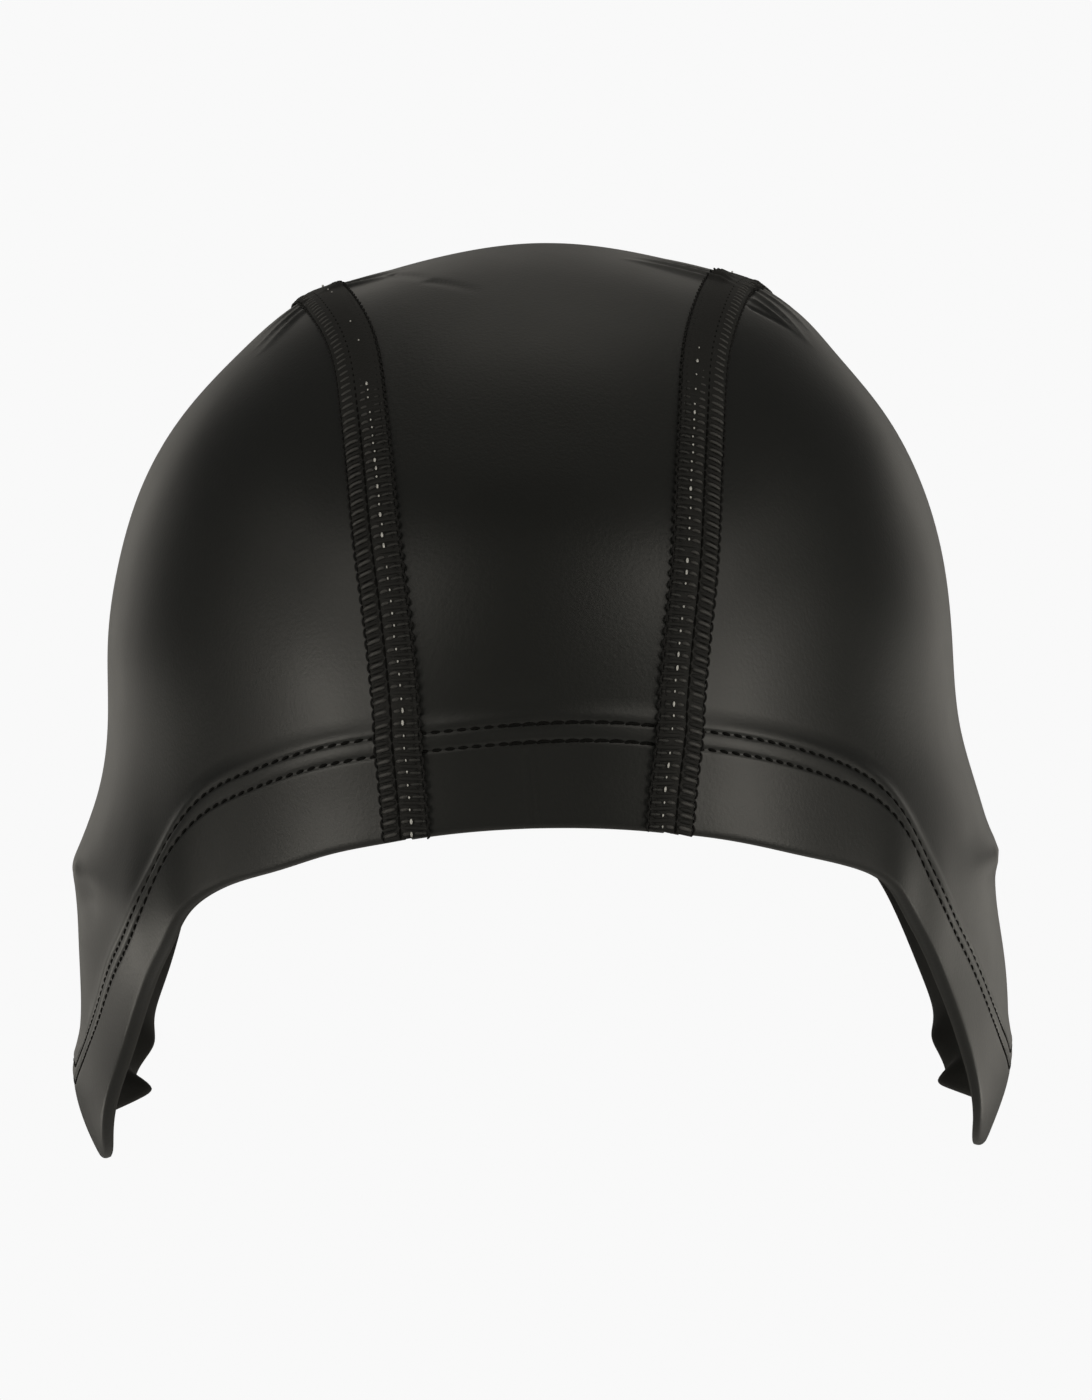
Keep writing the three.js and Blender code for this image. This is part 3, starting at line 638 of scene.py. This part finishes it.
def finish_piece(mesh, material, cad_node):
    """The mesh as a smooth piece of the part, in place of its CAD node where it has one."""
    mesh.polygons.foreach_set("use_smooth", np.ones(len(mesh.polygons), dtype=bool))
    mesh.materials.append(material)
    piece = bpy.data.objects.new(mesh.name, mesh)
    bpy.context.scene.collection.objects.link(piece)
    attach(piece, "root")
    if cad_node:
        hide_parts(cad_node)
    return piece


def add_threads(name, paths, outs, radius, material):
    """Many short threads as one mesh: a ring of points carried along each path, flattened along
    its `outs`, thinner at both ends and closed to a point there."""
    sides = THREAD_SIDES
    count, length = paths.shape[:2]
    ahead = unit(np.gradient(paths, axis=1))
    out = unit(outs - (outs * ahead).sum(-1, keepdims=True) * ahead)
    across = np.cross(ahead, out)
    taper = np.sqrt(np.clip(1 - np.linspace(-0.93, 0.93, length) ** 6, 0.05, 1))
    size = np.broadcast_to(np.asarray(radius, float).reshape(-1, 1), (count, length)) * taper
    angle = np.arange(sides) * 2 * np.pi / sides
    ring = (across[:, :, None] * np.cos(angle)[:, None]
            + THREAD_FLAT * out[:, :, None] * np.sin(angle)[:, None])
    body = paths[:, :, None] + ring * size[:, :, None, None]
    tips = np.stack([paths[:, 0] - ahead[:, 0] * size[:, :1] * 0.4,
                     paths[:, -1] + ahead[:, -1] * size[:, -1:] * 0.4], 1)
    points = np.concatenate([body.reshape(count, -1, 3), tips], 1)
    index = np.arange(length * sides).reshape(length, sides)
    following = np.roll(index, -1, 1)
    quads = np.stack([index[:-1], index[1:], following[1:], following[:-1]], -1).reshape(-1, 4)
    first = np.stack([np.full(sides, length * sides), index[0], following[0]], -1)
    last = np.stack([np.full(sides, length * sides + 1), following[-1], index[-1]], -1)
    starts = np.arange(count)[:, None, None] * points.shape[1]
    faces = (quads + starts).reshape(-1, 4).tolist()
    faces += (np.concatenate([first, last]) + starts).reshape(-1, 3).tolist()
    mesh = bpy.data.meshes.new(name)
    mesh.from_pydata((points.reshape(-1, 3) * MM).tolist(), [], faces)
    return finish_piece(mesh, material, None)


# Finishes.
def grain_group():
    """Fine uneven grain of coated cloth: small noise over larger mottling. Puts out a height and
    a roughness change."""
    group = bpy.data.node_groups.new("cloth_grain", "ShaderNodeTree")
    group.interface.new_socket("Vector", in_out="INPUT", socket_type="NodeSocketVector")
    group.interface.new_socket("Scale", in_out="INPUT", socket_type="NodeSocketFloat")
    group.interface.new_socket("Height", in_out="OUTPUT", socket_type="NodeSocketFloat")
    group.interface.new_socket("Mottle", in_out="OUTPUT", socket_type="NodeSocketFloat")
    nodes, links = group.nodes, group.links
    given = nodes.new("NodeGroupInput")
    result = nodes.new("NodeGroupOutput")
    fine = nodes.new("ShaderNodeTexNoise")
    fine.inputs["Detail"].default_value = 3.0
    broad = nodes.new("ShaderNodeTexNoise")
    broad.inputs["Scale"].default_value = 60.0
    broad.inputs["Detail"].default_value = 4.0
    links.new(given.outputs["Vector"], fine.inputs["Vector"])
    links.new(given.outputs["Vector"], broad.inputs["Vector"])
    links.new(given.outputs["Scale"], fine.inputs["Scale"])
    links.new(fine.outputs["Fac"], result.inputs["Height"])
    links.new(broad.outputs["Fac"], result.inputs["Mottle"])
    return group


cloth_grain = grain_group()


def grained_material(name, scale, strength):
    """A material whose surface is bumped by the grain at one scale."""
    material = bpy.data.materials.new(name)
    material.use_nodes = True
    nodes, links = material.node_tree.nodes, material.node_tree.links
    place = nodes.new("ShaderNodeTexCoord")
    grain = nodes.new("ShaderNodeGroup")
    grain.name = "grain"
    grain.node_tree = cloth_grain
    grain.inputs["Scale"].default_value = scale
    bump = nodes.new("ShaderNodeBump")
    bump.inputs["Strength"].default_value = strength
    bump.inputs["Distance"].default_value = 0.0003
    links.new(place.outputs["Object"], grain.inputs["Vector"])
    links.new(grain.outputs["Height"], bump.inputs["Height"])
    links.new(bump.outputs["Normal"], nodes["Principled BSDF"].inputs["Normal"])
    return material


def cloth_material():
    """Black polyurethane-coated stretch cloth: satin outside, matt knit inside."""
    material = grained_material("coated_cloth", 1500.0, 0.12)
    nodes, links = material.node_tree.nodes, material.node_tree.links
    surface = nodes["Principled BSDF"]
    surface.inputs["IOR"].default_value = 1.5
    side = nodes.new("ShaderNodeAttribute")
    side.attribute_name = "inside"
    colour = nodes.new("ShaderNodeMix")
    colour.data_type = "RGBA"
    colour.inputs["A"].default_value = (0.0072, 0.0078, 0.0066, 1)
    colour.inputs["B"].default_value = (0.030, 0.030, 0.028, 1)
    links.new(side.outputs["Fac"], colour.inputs["Factor"])
    links.new(colour.outputs["Result"], surface.inputs["Base Color"])
    rough = nodes.new("ShaderNodeMapRange")
    rough.inputs["To Min"].default_value = 0.37
    rough.inputs["To Max"].default_value = 0.85
    links.new(side.outputs["Fac"], rough.inputs["Value"])
    mottle = nodes.new("ShaderNodeMath")
    mottle.operation = "MULTIPLY_ADD"
    mottle.inputs[1].default_value = 0.08
    links.new(nodes["grain"].outputs["Mottle"], mottle.inputs[0])
    links.new(rough.outputs["Result"], mottle.inputs[2])
    links.new(mottle.outputs["Value"], surface.inputs["Roughness"])
    return material


def thread_material(name, colour, roughness, shine):
    """Spun thread: one colour with a fine twist in the bump."""
    material = grained_material(name, 2500.0, 0.35)
    surface = material.node_tree.nodes["Principled BSDF"]
    surface.inputs["Base Color"].default_value = (*colour, 1)
    surface.inputs["Roughness"].default_value = roughness
    surface.inputs["Specular IOR Level"].default_value = shine
    return material


coated_cloth = cloth_material()
ground_finish = thread_material("seam_ground", (0.012, 0.012, 0.011), 0.7, 0.3)
# Rungs of the seam's cover: real black thread, given lighter base colours than the other threads as
# painted sheen.
rung_sheen_finish = thread_material("cover_thread_painted_sheen", (0.045, 0.044, 0.041), 0.55, 0.5)
inner_rung_sheen_finish = thread_material("inner_cover_thread_painted_sheen", (0.026, 0.026, 0.024), 0.6, 0.4)
edge_thread = thread_material("edge_thread", (0.007, 0.007, 0.0065), 0.75, 0.25)
dark_thread = thread_material("needle_thread", (0.004, 0.004, 0.0035), 0.8, 0.12)
# Beads on the seam: a smooth thread bead whose light grey colour is a painted glint.
painted_glint_finish = thread_material("painted_glint_thread", (0.6, 0.6, 0.57), 0.18, 0.5)


# Panels.
def seam_stops(side, count):
    """Distances along a seam from its front hem to its rear one, crowded where the creases are."""
    length, back_at = seams[side]
    fine = np.linspace(0, length, 2001)
    creased = np.interp(CREASED_BACK, back_at(fine), fine)
    front, rear = HEM_REACH, length - HEM_REACH
    return crowded(front, rear, count, creased, CREASED_SPREAD, CREASED_EXTRA)


def inside_share(share):
    """1 on the hem's inner face and 0 on its outer one, over a smooth step round the fold."""
    return smooth_step(share * 4 - 2)


def side_panel(name, side, seed, cad_node):
    """Side panel: its hem as a section carried along the lower edge, an outer and an inner disc
    of rings, and the cut edge beside the seam."""
    field = hem_fields[side]
    height, share = hem_section(field["hem"])
    stations = np.arange(EDGE_STATIONS, dtype=float)
    rows = np.tile(stations[:, None], (1, height.shape[1]))
    right, back = between_columns(field, rows, height)
    along = (field["stations"] * field["length"])[:, None]
    turn = field["turn"][:, None]
    relief = hem_relief(height, along, field["hem"][:, None], turn, seed)
    pressed, at_turn, spread = PRESSED_FOLD[side]
    folded = smooth_step((share - CLOTH_THICKNESS / HEM_THICKNESS) * 3)
    thinned = 1 - pressed * bell(turn - at_turn, spread) * folded
    out = relief * (1 - share) - share * HEM_THICKNESS * thinned
    hem = grid_patch(cloth_point(right, back, out), inside_share(share), end_rows=True)

    top_right, top_back = between_columns(field, stations, np.full(EDGE_STATIONS, HEM_REACH))
    stops = seams[side][1](seam_stops(side, SEAM_POINTS + 2))
    seam_right, seam_back = beside_seam(side, stops, PANEL_EDGE)
    seam_right[[0, -1]], seam_back[[0, -1]] = top_right[[0, -1]], top_back[[0, -1]]
    rim_right = np.concatenate([top_right, seam_right[-2:0:-1]])
    rim_back = np.concatenate([top_back, seam_back[-2:0:-1]])
    middle = (side * SIDE_MIDDLE[0], SIDE_MIDDLE[1])
    reaches = 1 - np.concatenate([np.linspace(0, 0.12, 12), np.linspace(0.14, 0.97, 36)])
    outer = disc_patch(rim_right, rim_back, middle, reaches, 0.0, 0.0)
    inner = disc_patch(rim_right, rim_back, middle, reaches[::3], -CLOTH_THICKNESS, 1.0)
    patches = [hem, outer, inner, cut_wall(seam_right, seam_back)]
    return add_piece(name, patches, coated_cloth, cad_node)


front_middle, rear_middle = edge_place(1, 0.0)[1], edge_place(1, 1.0)[1]
middle_length, middle_share = measured(
    lambda s: (0 * s, front_middle + (rear_middle - front_middle) * s))


def centre_places(front, over, rear, across):
    """Chart places on the centre panel, a row for each distance from the front edge, each share of
    the way over the head and each distance from the rear edge: a parabola across through the left
    seam, the middle line and the right seam."""
    rights, backs = 0.0, 0.0
    for side, weight in zip((-1, 0, 1), across_weights(across)):
        length = seams[side][0] if side else middle_length
        stops = HEM_REACH + (length - 2 * HEM_REACH) * over
        distance = np.concatenate([front, stops, length - rear])
        if side:
            right, back = beside_seam(side, seams[side][1](distance), -PANEL_EDGE)
        else:
            right = 0 * distance
            back = front_middle + (rear_middle - front_middle) * middle_share(distance)
        rights = rights + right[:, None] * weight
        backs = backs + back[:, None] * weight
    return rights, backs


def centre_panel(name, cad_node):
    """Centre panel: a hem at each end, an outer and an inner face over the head, and the two cut
    edges beside the seams."""
    across = np.linspace(-1, 1, CENTRE_COLUMNS)
    along = across * 26.0
    heights, shares = (row[0] for row in hem_section(LOWER_EDGE["hem"][:1]))
    height, share, inside = heights[:, None], shares[:, None], inside_share(shares)
    dent = 0.3 * bell(along + 1.0, 1.3) * smooth_step((15 - height) / 2.0)  # at the hem's join
    patches = []
    for front, rear, seed in ((heights, NOWHERE, 0.4), (NOWHERE, heights, 2.9)):
        right, back = centre_places(front, NOWHERE, rear, across)
        relief = hem_relief(height, along, LOWER_EDGE["hem"][0], 0.0, seed) - dent
        points = cloth_point(right, back, relief * (1 - share) - share * HEM_THICKNESS)
        patches.append(grid_patch(points.swapaxes(0, 1), inside, end_rows=True))
    stops = seam_stops(-1, CENTRE_ROWS)
    over = (stops - stops[0]) / (stops[-1] - stops[0])
    right, back = centre_places(NOWHERE, over, NOWHERE, across)
    patches.append(grid_patch(cloth_point(right, back), 0.0))
    patches.append(grid_patch(cloth_point(right, back, -CLOTH_THICKNESS), 1.0))
    patches += [cut_wall(right[:, column], back[:, column]) for column in (0, -1)]
    return add_piece(name, patches, coated_cloth, cad_node)


hem_fields = {side: hem_field(side, np.linspace(0, 1, EDGE_STATIONS)) for side in (-1, 1)}
panel_left = side_panel("cloth_side_panel_left", -1, 0.9, "side_panel_left")
panel_right = side_panel("cloth_side_panel_right", 1, 2.2, "side_panel_right")
panel_centre = centre_panel("cloth_centre_panel", "centre_panel")


# Seam bands.
def seam_grid(side, distance, aside, out):
    """Points over a seam: distances along it, and offsets across and out, broadcast together."""
    length, back_at = seams[side]
    distance, aside, out = np.broadcast_arrays(distance, aside, out)
    right, back = beside_seam(side, back_at(distance), aside)
    flare = hem_flare(np.minimum(distance, length - distance), LOWER_EDGE["hem"][0], SEAM_TURN)
    return cloth_point(right, back, out + flare), form_slopes(right, back)[2]


def wall_thickness(distance, length):
    """Cloth's thickness by distance along a seam: the hem's near both ends and one layer's between
    them, over a smooth step."""
    folded = smooth_step((HEM_STEP - np.minimum(distance, length - distance)) / 2.0)
    return CLOTH_THICKNESS + (HEM_THICKNESS - CLOTH_THICKNESS) * folded


def seam_band(name, side, cad_node):
    """Ground of a flatlock seam: an outer and an inner cover joined by a web, the section carried
    along the seam."""
    length = seams[side][0]
    distance = np.linspace(0.3, length - 0.25, BAND_SECTIONS)[:, None]
    wide, web, narrow = SEAM_WIDTH / 2, SEAM_WEB / 2, SEAM_INSIDE_WIDTH / 2
    low, top, sunk = COVER_LIFT, COVER_TOP, -COVER_SINK
    section = table("aside out behind_cloth", [
        (-wide, low, 0), (-web, low, 0), (-web, sunk, 1), (-narrow, sunk, 1),
        (-narrow, sunk - SEAM_COVER, 1), (narrow, sunk - SEAM_COVER, 1), (narrow, sunk, 1),
        (web, sunk, 1), (web, low, 0), (wide, low, 0), (wide, low + 0.15, 0),
        (wide - 0.3, top - 0.1, 0), (wide * 0.5, top, 0), (0.0, top + 0.05, 0),
        (-wide * 0.5, top, 0), (0.3 - wide, top - 0.1, 0), (-wide, low + 0.15, 0),
        (-wide, low, 0),
    ])
    aside = section["aside"]
    out = section["out"] - section["behind_cloth"] * wall_thickness(distance, length)
    slanted = distance - 0.12 * aside * bell(distance, 6.0)  # the front edge runs aslant
    grid, _ = seam_grid(side, slanted, aside, out)
    patches = [grid_patch(grid, 0.0, end_rows=True)]
    return add_piece(name, patches, ground_finish, cad_node)


def over_crown(distance):
    """How tightly a seam is drawn over the crown: 0 at the hems, 1 from 100 to 165 mm along it."""
    return smooth_step((distance - 74) / 26) * smooth_step((195 - distance) / 30)


def seam_threads(label, side, seed, bead_aside):
    """Threads of a flatlock seam, one set per stitch: a wide slanted rung on the outer side, a
    shorter one inside it and a short one by the inner edge, all three lighter as painted sheen,
    dark threads under them, running needle threads, scallops along both edges, and at some of
    the stitches a shiny bead painted light grey as a glint."""
    rng = np.random.default_rng(seed)
    length = seams[side][0]
    starts = np.arange(1.2, length - 1.0, RUNG_PITCH)
    between = starts + RUNG_PITCH / 2
    half = SEAM_WIDTH / 2
    wobble = 0.06

    def strands(start, aside_from, aside_to, slant, rise, points=6):
        """Paths across the band from one offset to another, slanted along it, bowed upwards by a
        parabola, and sunk over the crown and just above the front hem."""
        t = np.linspace(0, 1, points)[None, :]
        start = start[:, None] + rng.normal(0, wobble, (len(start), 1))
        aside = aside_from + (aside_to - aside_from) * t + rng.normal(0, wobble, (len(start), 1))
        along = start + slant * (t - 0.5)
        sunk = 0.36 * over_crown(start) + 0.2 * bell(start - 23.3, 1.8)
        out = COVER_TOP + rise - sunk - 0.25 * towards_ends(t)
        return seam_grid(side, along, aside, out)

    def running(aside, swing, reach, rise):
        """Paths along the band: one dash per stitch, bowed aside and upwards by parabolas."""
        t = np.linspace(0, 1, 6)[None, :]
        along = starts[:, None] + RUNG_PITCH * reach * (t - 0.5)
        sideways = aside + swing * (1 - towards_ends(t))
        out = COVER_TOP + rise - 0.24 * over_crown(along) - 0.22 * towards_ends(t)
        return seam_grid(side, along, sideways, out)

    short_to = bead_aside - 0.3
    # The three rung sets take the lighter finishes with painted sheen; the rest are dark thread.
    for name, (paths, outs), radius, finish in (
            ("rungs_wide", strands(starts, 1.35, half - 0.35, -0.30, 0.20), 0.36, rung_sheen_finish),
            ("rungs_middle", strands(starts, -1.0, 0.40, -0.2, 0.16, 5), 0.32, rung_sheen_finish),
            ("rungs_short", strands(starts, -3.95, short_to, -0.1, 0.06, 5), 0.27, inner_rung_sheen_finish),
            ("under_rungs", strands(between, 1.1, half - 0.2, -0.30, 0.02), 0.44, ground_finish),
            ("under_rungs_inner", strands(between, 0.2 - half, 0.6, 0.2, 0.0), 0.42, ground_finish),
            ("needle_line", running(0.78, 0.12, 0.95, 0.16), 0.20, dark_thread),
            ("needle_edge_out", running(half - 0.15, 0.34, 0.98, -0.12), 0.23, edge_thread),
            ("needle_edge_in", running(0.25 - half, -0.5, 0.8, -0.06), 0.24, edge_thread),
            ("needle_loops", running(-2.95, -0.4, 0.7, 0.08), 0.15, edge_thread)):
        add_threads(f"{name}_{label}", paths, outs, radius, finish)
    # Glints are painted at most stitches near the front hem and at few over the crown; about a
    # third are larger.
    chance = np.interp(starts, [0, 85, 110, length], [0.95, 0.9, 0.2, 0.1])
    shown = rng.random(len(starts)) < chance
    count = shown.sum()
    places = starts[shown][:, None] + rng.normal(0, 0.08, (count, 1))
    strong = rng.random(count) < 0.3
    along = places + np.where(strong, 0.42, 0.2)[:, None] * np.array([-1.0, 0.0, 1.0])
    aside = bead_aside + rng.normal(0, wobble, (count, 1))
    paths, outs = seam_grid(side, along, aside, COVER_TOP + 0.26)
    size = np.where(strong, 0.25, 0.17) * rng.uniform(0.8, 1.1, count)
    add_threads(f"painted_glint_beads_{label}", paths, outs, size, painted_glint_finish)


seam_band("ground_seam_left", -1, "seam_left")
seam_band("ground_seam_right", 1, "seam_right")
seam_threads("left", -1, 11, -1.4)
seam_threads("right", 1, 12, -1.7)


# Hem stitches: two rows of short slanted threads lying in the grooves.
def stitch_paths_side(field, row):
    """Dashes along a side's hem in its upper row, 0, or its lower one, 1, each slanted a little
    and dipped at both ends by a parabola."""
    count = int(field["length"] / STITCH_PITCH)
    starts = (np.arange(count) + 0.5) * STITCH_PITCH
    t = np.linspace(0, 1, 6)[None, :]
    along = starts[:, None] + STITCH_LENGTH * (t - 0.5)
    rows = along / field["length"] * (len(field["stations"]) - 1)
    hem = np.interp(along / field["length"], field["stations"], field["hem"])
    turn = edge_turn(np.interp(along / field["length"], field["stations"], field["share"]))
    height = hem - row * np.interp(turn, *NEEDLE_GAUGE) - STITCH_SLANT * (t - 0.5)
    right, back = between_columns(field, rows, height)
    out = hem_flare(height, hem, turn) - STITCH_SINK - STITCH_DIP * towards_ends(t)
    return cloth_point(right, back, out), form_slopes(right, back)[2]


def stitch_paths_centre(end, drop, first=-1.0, slant=0.0):
    """Dashes across the centre panel's hem at its front end, 0, or its rear one, 1, `drop` below
    the upper row and from the share `first` of the way across to the right seam. Their places are
    blended between two lines across, a millimetre under the row and a millimetre over it."""
    hem = LOWER_EDGE["hem"][0]
    starts = np.arange(first + 1 / CENTRE_STITCHES, 1.0, 2 / CENTRE_STITCHES)
    t = np.linspace(0, 1, 6)[None, :]
    across = starts[:, None] + 1.6 / CENTRE_STITCHES * (t - 0.5)
    height = hem - drop + slant * (t - 0.5) + 0 * across
    lines = hem - drop + np.array([-1.0, 1.0])
    front, rear = (NOWHERE, lines) if end else (lines, NOWHERE)
    places = centre_places(front, NOWHERE, rear, np.array([-1.0, 0.0, 1.0]))
    up = (height - lines[0]) / 2
    right, back = (((low[:, None, None] * (1 - up) + high[:, None, None] * up)
                    * across_weights(across)).sum(0) for low, high in places)
    out = hem_flare(height, hem, 0.0) - STITCH_SINK - STITCH_DIP * towards_ends(t)
    return cloth_point(right, back, out), form_slopes(right, back)[2]


def add_stitches(name, found):
    """The dashes of some stitch rows as one piece of dark threads."""
    paths, outs = (np.concatenate(part) for part in zip(*found))
    return add_threads(name, paths, outs, STITCH_RADIUS, dark_thread)


stitches_left, stitches_right = (
    add_stitches(f"hem_stitches_{label}",
                 [stitch_paths_side(hem_fields[side], row) for row in (0, 1)])
    for label, side in (("left", -1), ("right", 1)))
drops = (0.0, NEEDLE_GAUGE[1][0])
centre_rows = [stitch_paths_centre(end, drop) for end in (0, 1) for drop in drops]
centre_rows += [stitch_paths_centre(0, drop, OVERLAP_FROM, OVERLAP_SLANT) for drop in drops]
stitches_centre = add_stitches("hem_stitches_centre", centre_rows)


# Studio, in metres.
BACKGROUND = 0.947
FLOOR_LEVEL = -0.75
FLOOR_REACH = 9
LIGHT_DISTANCE = 1.6
LIGHT_TINT = (1.05, 1.0, 0.90)
CAMERA_DISTANCE = 1.6
CAMERA_TILT = math.radians(5)
FOCAL_LENGTH = 8564 / 1400  # as a share of the picture's height
CAMERA_SHIFT = 10 / 1400  # as a share of it too


def seen_by_camera(nodes, links, seen, unseen):
    """One shader for what the camera sees directly and another for all other light."""
    path = nodes.new("ShaderNodeLightPath")
    mix = nodes.new("ShaderNodeMixShader")
    links.new(path.outputs["Is Camera Ray"], mix.inputs[0])
    links.new(unseen.outputs[0], mix.inputs[1])
    links.new(seen.outputs[0], mix.inputs[2])
    return mix


def pale_finish(name, camera_level, other_level):
    """Plain pale finish that the camera sees evenly lit. It is clear from behind, so that the
    floor doesn't hide the cap from below."""
    material = bpy.data.materials.new(name)
    material.use_nodes = True
    nodes, links = material.node_tree.nodes, material.node_tree.links
    nodes.clear()
    output = nodes.new("ShaderNodeOutputMaterial")
    seen = nodes.new("ShaderNodeEmission")
    seen.inputs["Color"].default_value = (camera_level, camera_level, camera_level, 1)
    unseen = nodes.new("ShaderNodeBsdfDiffuse")
    unseen.inputs["Color"].default_value = (other_level, other_level, other_level, 1)
    facing = nodes.new("ShaderNodeNewGeometry")
    one_sided = nodes.new("ShaderNodeMixShader")
    links.new(facing.outputs["Backfacing"], one_sided.inputs[0])
    links.new(seen_by_camera(nodes, links, seen, unseen).outputs[0], one_sided.inputs[1])
    links.new(nodes.new("ShaderNodeBsdfTransparent").outputs[0], one_sided.inputs[2])
    links.new(one_sided.outputs[0], output.inputs["Surface"])
    return material


floor_mesh = bpy.data.meshes.new("floor")
corners = [(x * FLOOR_REACH, y * FLOOR_REACH, FLOOR_LEVEL)
           for x, y in ((-1, -1), (1, -1), (1, 1), (-1, 1))]
floor_mesh.from_pydata(corners, [], [(0, 1, 2, 3)])
floor_mesh.materials.append(pale_finish("floor_paper", BACKGROUND, 0.8))
floor = bpy.data.objects.new("floor", floor_mesh)
bpy.context.scene.collection.objects.link(floor)

world = bpy.data.worlds.new("studio")
bpy.context.scene.world = world
world.use_nodes = True
nodes, links = world.node_tree.nodes, world.node_tree.links
nodes.clear()
output = nodes.new("ShaderNodeOutputWorld")
seen = nodes.new("ShaderNodeBackground")
seen.inputs["Color"].default_value = (BACKGROUND, BACKGROUND, BACKGROUND, 1)
room = nodes.new("ShaderNodeBackground")
room.inputs["Color"].default_value = (0.06, 0.06, 0.06, 1)
links.new(seen_by_camera(nodes, links, seen, room).outputs[0], output.inputs["Surface"])


def softbox(name, azimuth, elevation, width, height, radiance):
    """Area light that faces the cap's middle; azimuth 0 is at the camera and 90 at the viewer's
    right. Its power is pi times its area and the radiance that its face is to have."""
    light = bpy.data.lights.new(name, "AREA")
    light.shape = "RECTANGLE"
    light.size, light.size_y = width, height
    light.energy = radiance * math.pi * width * height
    light.color = LIGHT_TINT
    turn, rise = math.radians(azimuth), math.radians(elevation)
    level = math.cos(rise)
    way = Vector((math.sin(turn) * level, -math.cos(turn) * level, math.sin(rise)))
    lamp = bpy.data.objects.new(name, light)
    lamp.location = Vector((0, 0, -0.085)) + way * LIGHT_DISTANCE
    lamp.rotation_mode = "QUATERNION"
    lamp.rotation_quaternion = way.to_track_quat("Z", "Y")
    lamp.visible_camera = False
    bpy.context.scene.collection.objects.link(lamp)


for place, azimuth, elevation, width, height, radiance in (
        ("left", -60, 2, 0.66, 0.92, 3.2),
        ("right", 60, 2, 0.66, 0.92, 3.4),
        ("far_left", -88, 8, 0.5, 0.9, 0.40),
        ("far_right", 86, 8, 0.5, 0.9, 0.45),
        ("near_left", -40, 3, 0.5, 0.7, 0.25),
        ("near_right", 42, 3, 0.5, 0.7, 0.30),
        ("upper_left", -48, 38, 0.85, 0.6, 1.65),
        ("upper_right", 48, 38, 0.85, 0.6, 2.15),
        ("side_left", -90, 38, 0.6, 0.6, 0.42),
        ("side_right", 90, 38, 0.6, 0.6, 0.42),
        ("top", 180, 64, 0.9, 0.9, 0.48),
        ("behind", 180, 28, 1.0, 0.7, 0.30),
        ("back_left", -155, 1, 0.5, 0.62, 0.70),
        ("back_right", 153, 1, 0.5, 0.62, 0.70),
        ("rim_left", -166, 16, 0.5, 0.5, 0.36),
        ("rim_right", 166, 16, 0.5, 0.5, 0.45),
        ("flap_left", -134, -13, 0.5, 0.5, 0.55),
        ("flap_right", 133, -12, 0.5, 0.5, 1.3),
        ("low_left", -122, -24, 0.9, 0.5, 1.6),
        ("low_right", 122, -24, 0.9, 0.5, 1.6),
        ("front", 0, 3, 0.7, 0.7, 0.25)):
    softbox("softbox_" + place, azimuth, elevation, width, height, radiance)

camera = bpy.data.cameras.new("camera")
camera.sensor_width = 36.0
camera.lens = FOCAL_LENGTH * camera.sensor_width
camera.shift_x = CAMERA_SHIFT
camera_object = bpy.data.objects.new("camera", camera)
aim = Vector((0, -0.008, -0.0837))
ahead = Vector((0, math.cos(CAMERA_TILT), -math.sin(CAMERA_TILT)))
camera_object.location = aim - CAMERA_DISTANCE * ahead
camera_object.rotation_euler = (math.pi / 2 - CAMERA_TILT, 0, 0)
bpy.context.scene.collection.objects.link(camera_object)
bpy.context.scene.camera = camera_object
bpy.context.scene.view_settings.view_transform = "Standard"
